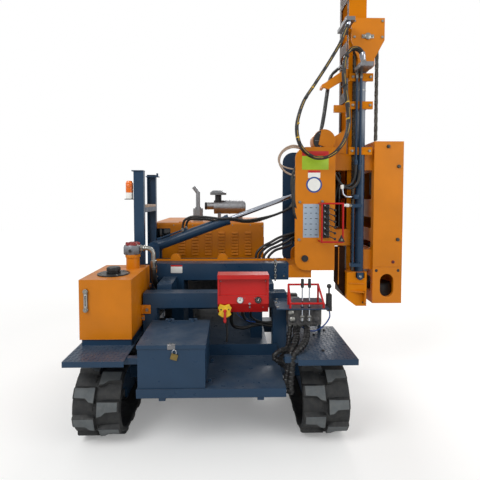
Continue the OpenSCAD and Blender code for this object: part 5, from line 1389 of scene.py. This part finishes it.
# %% Weld beads
def drop_stamp():
    """One ripple of a weld, 7 mm wide, lying along X."""
    shape = Shape()
    rings = []
    for x, r in ((-3.4, 0.6), (-1.6, 2.9), (1.2, 3.3), (3.2, 1.4)):
        rings.append([shape.bm.verts.new((x, y, 0.72 * z)) for y, z in circle(6, r)])
    for near, far in zip(rings, rings[1:]):
        shape.wall(near, far)
    shape.bm.faces.new(rings[0][::-1])
    shape.bm.faces.new(rings[-1])
    bmesh.ops.recalc_face_normals(shape.bm, faces=shape.bm.faces)
    return stamp("weld_drop", shape)


DROP = drop_stamp()


def welds(name, body, finish, slot_name, seams, size=1.0):
    """Beads along seams, each (start, end, facing) in millimetres."""
    spots = []
    for start, end, facing in seams:
        start, end = Vector(start), Vector(end)
        count = max(2, round((end - start).length / (4.2 * size)))
        along = (end - start).normalized()
        spots += [(start.lerp(end, (i + 0.5) / count), facing, along) for i in range(count)]
    return place_piece(name, repeat(name, DROP, spots, finish, (size, size, size), 0.12), body, slot_name)


stitches = [((x, 459, 425), (x + 44, 459, 425), UP) for x in range(-20, 440, 92)]
welds("frame_welds", "root", slate_paint, "slate_paint",
      stitches + [((-871, 243, 600), (-544, 243, 600), UP), ((-544, 243, 600), (-544, 777, 600), UP),
                  ((-526, 502, 774), (-427, 502, 774), FRONT), ((427, 502, 774), (526, 502, 774), FRONT),
                  ((-526, 502, 430), (-526, 502, 760), FRONT), ((526, 502, 430), (526, 502, 760), FRONT),
                  ((-584, 800, 900), (-584, 800, 1000), FRONT), ((424, 502, 842), (777, 502, 842), UP)])
welds("tank_welds", "root", orange_paint, "orange_paint",
      [((-540, 235, 646), (-540, 235, 1043), FRONT), ((-883, 235, 646), (-540, 235, 646), FRONT),
       ((-687, 655, 1043), (-687, 655, 1043.5), UP)], 0.8)
welds("cradle_welds", "cradle", orange_paint, "orange_paint",
      [((979, 954, 1173), (979, 954, 1313), FRONT), ((979, 954, 1815), (979, 954, 1955), FRONT),
       ((979, 878, 1320), (979, 878, 1800), RIGHT), ((920, 953, 1970), (1090, 953, 1954), FRONT)])
mast_seams = [((1111, 975, 957), (1260, 975, 957), FRONT), ((1100, 885, 957), (1260, 885, 957), FRONT),
              ((1123, 885, 800), (1234, 885, 790), FRONT)]
mast_seams += [((1111, 1023, z), (1111, 1023, z + 90), LEFT) for z in range(1157, 3400, 420)]
welds("mast_welds", "mast", orange_paint, "orange_paint", mast_seams)
welds("hammer_welds", "hammer", orange_paint, "orange_paint",
      [((1318, 900, 998), (1562, 900, 998), FRONT), ((1316, 905, 998), (1316, 1250, 998), LEFT),
       ((1564, 905, 998), (1564, 1250, 998), RIGHT)], 1.1)

# %% [markdown]
# ## Drum, lifting chain and engine bay
# The hose drum has a black face with spokes and half a cover. A short chain with a shackle hangs from
# the upper beam. The bay under the engine is closed by a dark plate, with hoses in front of it.

# %% Drum, lifting chain and engine bay
DRUM_X, DRUM_Z = 889, 2056
drum = Shape(black_plastic, orange_paint, steel)
drum.turned((DRUM_X, 897.8, DRUM_Z), FRONT, [(0, 88), (4, 88), (5.8, 84)], 44, 0)
for x, z in circle(6, 74):
    drum.bar((DRUM_X, 891.5, DRUM_Z), (DRUM_X + x, 891.5, DRUM_Z + z), 3.2, 10, 0.5, 2)
cover = [(DRUM_X + x, DRUM_Z + z) for x, z in circle(30, 93, -52)[:14]]
drum.plate(cover + [(842, 2022)], 880, 889, edge=2, paint=1)
drum.piece("drum_face", "cradle", "black_plastic")

sling = Shape(zinc, steel)
SLING_X = 488
for k in range(7):
    z = 1046 - 24 * k
    wide, deep = (8, 0) if k % 2 else (0, 3.4)
    ring = [(SLING_X + wide * x, 884.8 + deep * x, z + 15 * up) for x, up in circle(14, 1)]
    sling.tube(ring + ring[:1], 2.7, 8, 0, 20, False)
sling.bar((SLING_X, 880, 1058), (SLING_X, 896, 1058), 5, 12, 0.5, 1)
sling.box((SLING_X - 9, 888, 1033), (SLING_X + 9, 900, 1064), 2, 1)
sling.box((SLING_X - 7, 884, 884), (SLING_X + 7, 889.6, 912), 1, 1)
sling.piece("lifting_chain", "root", "steel")

bay = Shape(cast_iron, hose_rubber)
bay.box((-560, 1338, 560), (380, 1344, 985), 2)
for k, (x, z) in enumerate(((-400, 960), (-330, 940), (-210, 965), (-80, 950), (60, 962), (190, 955))):
    bay.tube([(x, 1330, z), (x + 30, 1290, z - 70), (x + 90, 1270, z - 120 - 8 * k),
              (x + 170, 1280, z - 110), (x + 230, 1320, z - 60)], 13, 12, 1)
bay.piece("engine_bay", "root", "engine_iron")

# %% [markdown]
# ## Small steelwork
# Eyes beside the toolbox, tie plates by the tank, plates on the mast's foot, caps and drive bolts on the
# track wheels, and the grease cover of each track's tensioner.

# %% Small steelwork
small = Shape(slate_paint, zinc, orange_paint)
for y in (87, 378):
    small.box((-32, y - 14, 424.5), (2, y + 14, 430), 1)
    small.turned((-15, y - 6, 438), BACK, [(0, 11), (12, 11)], 18, 0)
for side in (-1, 1):
    outer = side * FRAME_FACE
    low, high = sorted((outer, outer + 3 * side))
    small.box((low, 900, 215), (high, 1060, 285), 1.2)
    for y in (285, 2045):
        small.turned((outer + side * 5, y, AXLE_Z), (side, 0, 0), [(0, 40), (5, 40), (9, 34)], 32, 0)
small.box((-541, 485, 735), (-520, 497, 800), 2, 2)
small.box((-541, 491, 735), (-470, 498.5, 800), 2, 2)
small.hexagon((-496, 491, 766), (-496, 480, 766), 22, 1)
small.box((-541, 870, 960), (-500, 889.5, 1016), 3, 2)
small.turned((-520, 876, 1012), BACK, [(0, 20), (13.5, 20)], 24, 2)
small.box((-640, 893, 780), (-470, 899, 1033), 2)
small.piece("small_steelwork", "root", "slate_paint")
wheel_spots = []
for side, facing in ((-1, LEFT), (1, RIGHT)):
    for axle_y, radius, count in ((285, 26, 4), (2045, 28, 8)):
        wheel_spots += [((side * (FRAME_FACE + 12), axle_y + y, AXLE_Z + z), facing)
                        for y, z in circle(count, radius, 180 / count)]
    wheel_spots += [((side * (FRAME_FACE + 3), y, z), facing) for y in (905, 1055) for z in (221, 279)]
bolts("wheel_bolts", "root", "steel", zinc, wheel_spots, 0.5)
gusset = Shape(orange_paint, slate_paint, zinc, painted_shade_brown)
# the dark brown plate beside the mast's foot is painted shade
gusset.plate([(1004, 862), (1090, 742), (1090, 1165), (1004, 1165)], 938, 978, edge=3, paint=3)
gusset.box((1030, 932, 842), (1038, 939, 1165), 1)
gusset.plate([(1118, 884.9), (1240, 884.9), (1240, 838)], 787, 796, along="Z", edge=1.2)
gusset.plate([(884.9, 796), (838, 796), (846, 702), (884.9, 690)], 1230, 1240, along="X", edge=1.2)
gusset.plate([(1110, 868), (1240, 862), (1240, 854), (1110, 860)], 878, 884.9, along="Y", edge=1)
knuckle = [(1200 + x, 920 + z) for x, z in circle(24, 27, 180)[:13]]
gusset.plate(knuckle + [(1227, 956), (1173, 956)], 866, 884.9, edge=3, paint=1)
gusset.turned((1200, 866.5, 921), FRONT, [(0, 11), (3, 11), (5.5, 8)], 20, 2)
gusset.hexagon((1246, 862, 705), (1240, 862, 705), 17, 2)
gusset.piece("foot_gusset", "mast", "orange_paint")

# %% [markdown]
# ## Studio
# A plain pale floor and even, soft light: one large lamp from the upper left, a weaker one from the
# right and one from behind. The camera sees a white world, reflections see a light grey one, and the
# object is lit by less, so that a colour renders about as it is written. Far from the object the floor
# grows as white as the world, so that no horizon shows.

# %% Studio
world = bpy.data.worlds.new("Studio")
bpy.context.scene.world = world
world.use_nodes = True
sky = world.node_tree
ray = sky.nodes.new("ShaderNodeLightPath").outputs
seen = calculate(sky, "MAXIMUM", ray["Is Camera Ray"], ray["Is Transmission Ray"])
mirrored = ramp(sky, ray["Is Glossy Ray"], 0, 1, 0.55, 0.7)
level = calculate(sky, "MAXIMUM", seen, mirrored)
sky.nodes["Background"].inputs["Color"].default_value = (1, 1, 1, 1)
sky.links.new(level, sky.nodes["Background"].inputs["Strength"])


def lamp(name, place, target, size, power):
    """A square soft lamp that looks at a point, size in metres and power in watts."""
    light = bpy.data.lights.new(name, "AREA")
    light.size = size
    light.energy = power
    holder = bpy.data.objects.new(name, light)
    holder.location = place
    holder.rotation_euler = (Vector(target) - Vector(place)).to_track_quat("-Z", "Y").to_euler()
    bpy.context.collection.objects.link(holder)


lamp("Key", (-3.6, -4.2, 5.4), (0, 0, 1.1), 3.2, 215)
lamp("Fill", (4.6, -3.4, 3.0), (0, 0, 1.2), 3.5, 90)
lamp("Back", (1.5, 5.0, 4.6), (0, 0, 1.4), 3.0, 190)

floor_finish, floor_tree, floor_shader, floor_place = new_material("pale_floor")
floor_shader.inputs["Roughness"].default_value = 0.9
floor_shader.inputs["Base Color"].default_value = (0.80, 0.80, 0.79, 1)
floor_ray = floor_tree.nodes.new("ShaderNodeLightPath").outputs["Is Camera Ray"]
floor_shader.inputs["Emission Color"].default_value = (1, 1, 1, 1)
away = add_node(floor_tree, "ShaderNodeVectorMath", {0: floor_place}, operation="LENGTH").outputs["Value"]
glow = multiply(floor_tree, floor_ray, ramp(floor_tree, away, 3.0, 9.0, 0.20, 0.62))
floor_tree.links.new(glow, floor_shader.inputs["Emission Strength"])
floor_bm = bmesh.new()
bmesh.ops.create_grid(floor_bm, x_segments=1, y_segments=1, size=14)
floor_mesh = bpy.data.meshes.new("Floor")
floor_bm.to_mesh(floor_mesh)
floor_bm.free()
floor_mesh.materials.append(floor_finish)
floor = bpy.data.objects.new("Floor", floor_mesh)
floor.location.z = -0.001
bpy.context.collection.objects.link(floor)
print("studio ready")
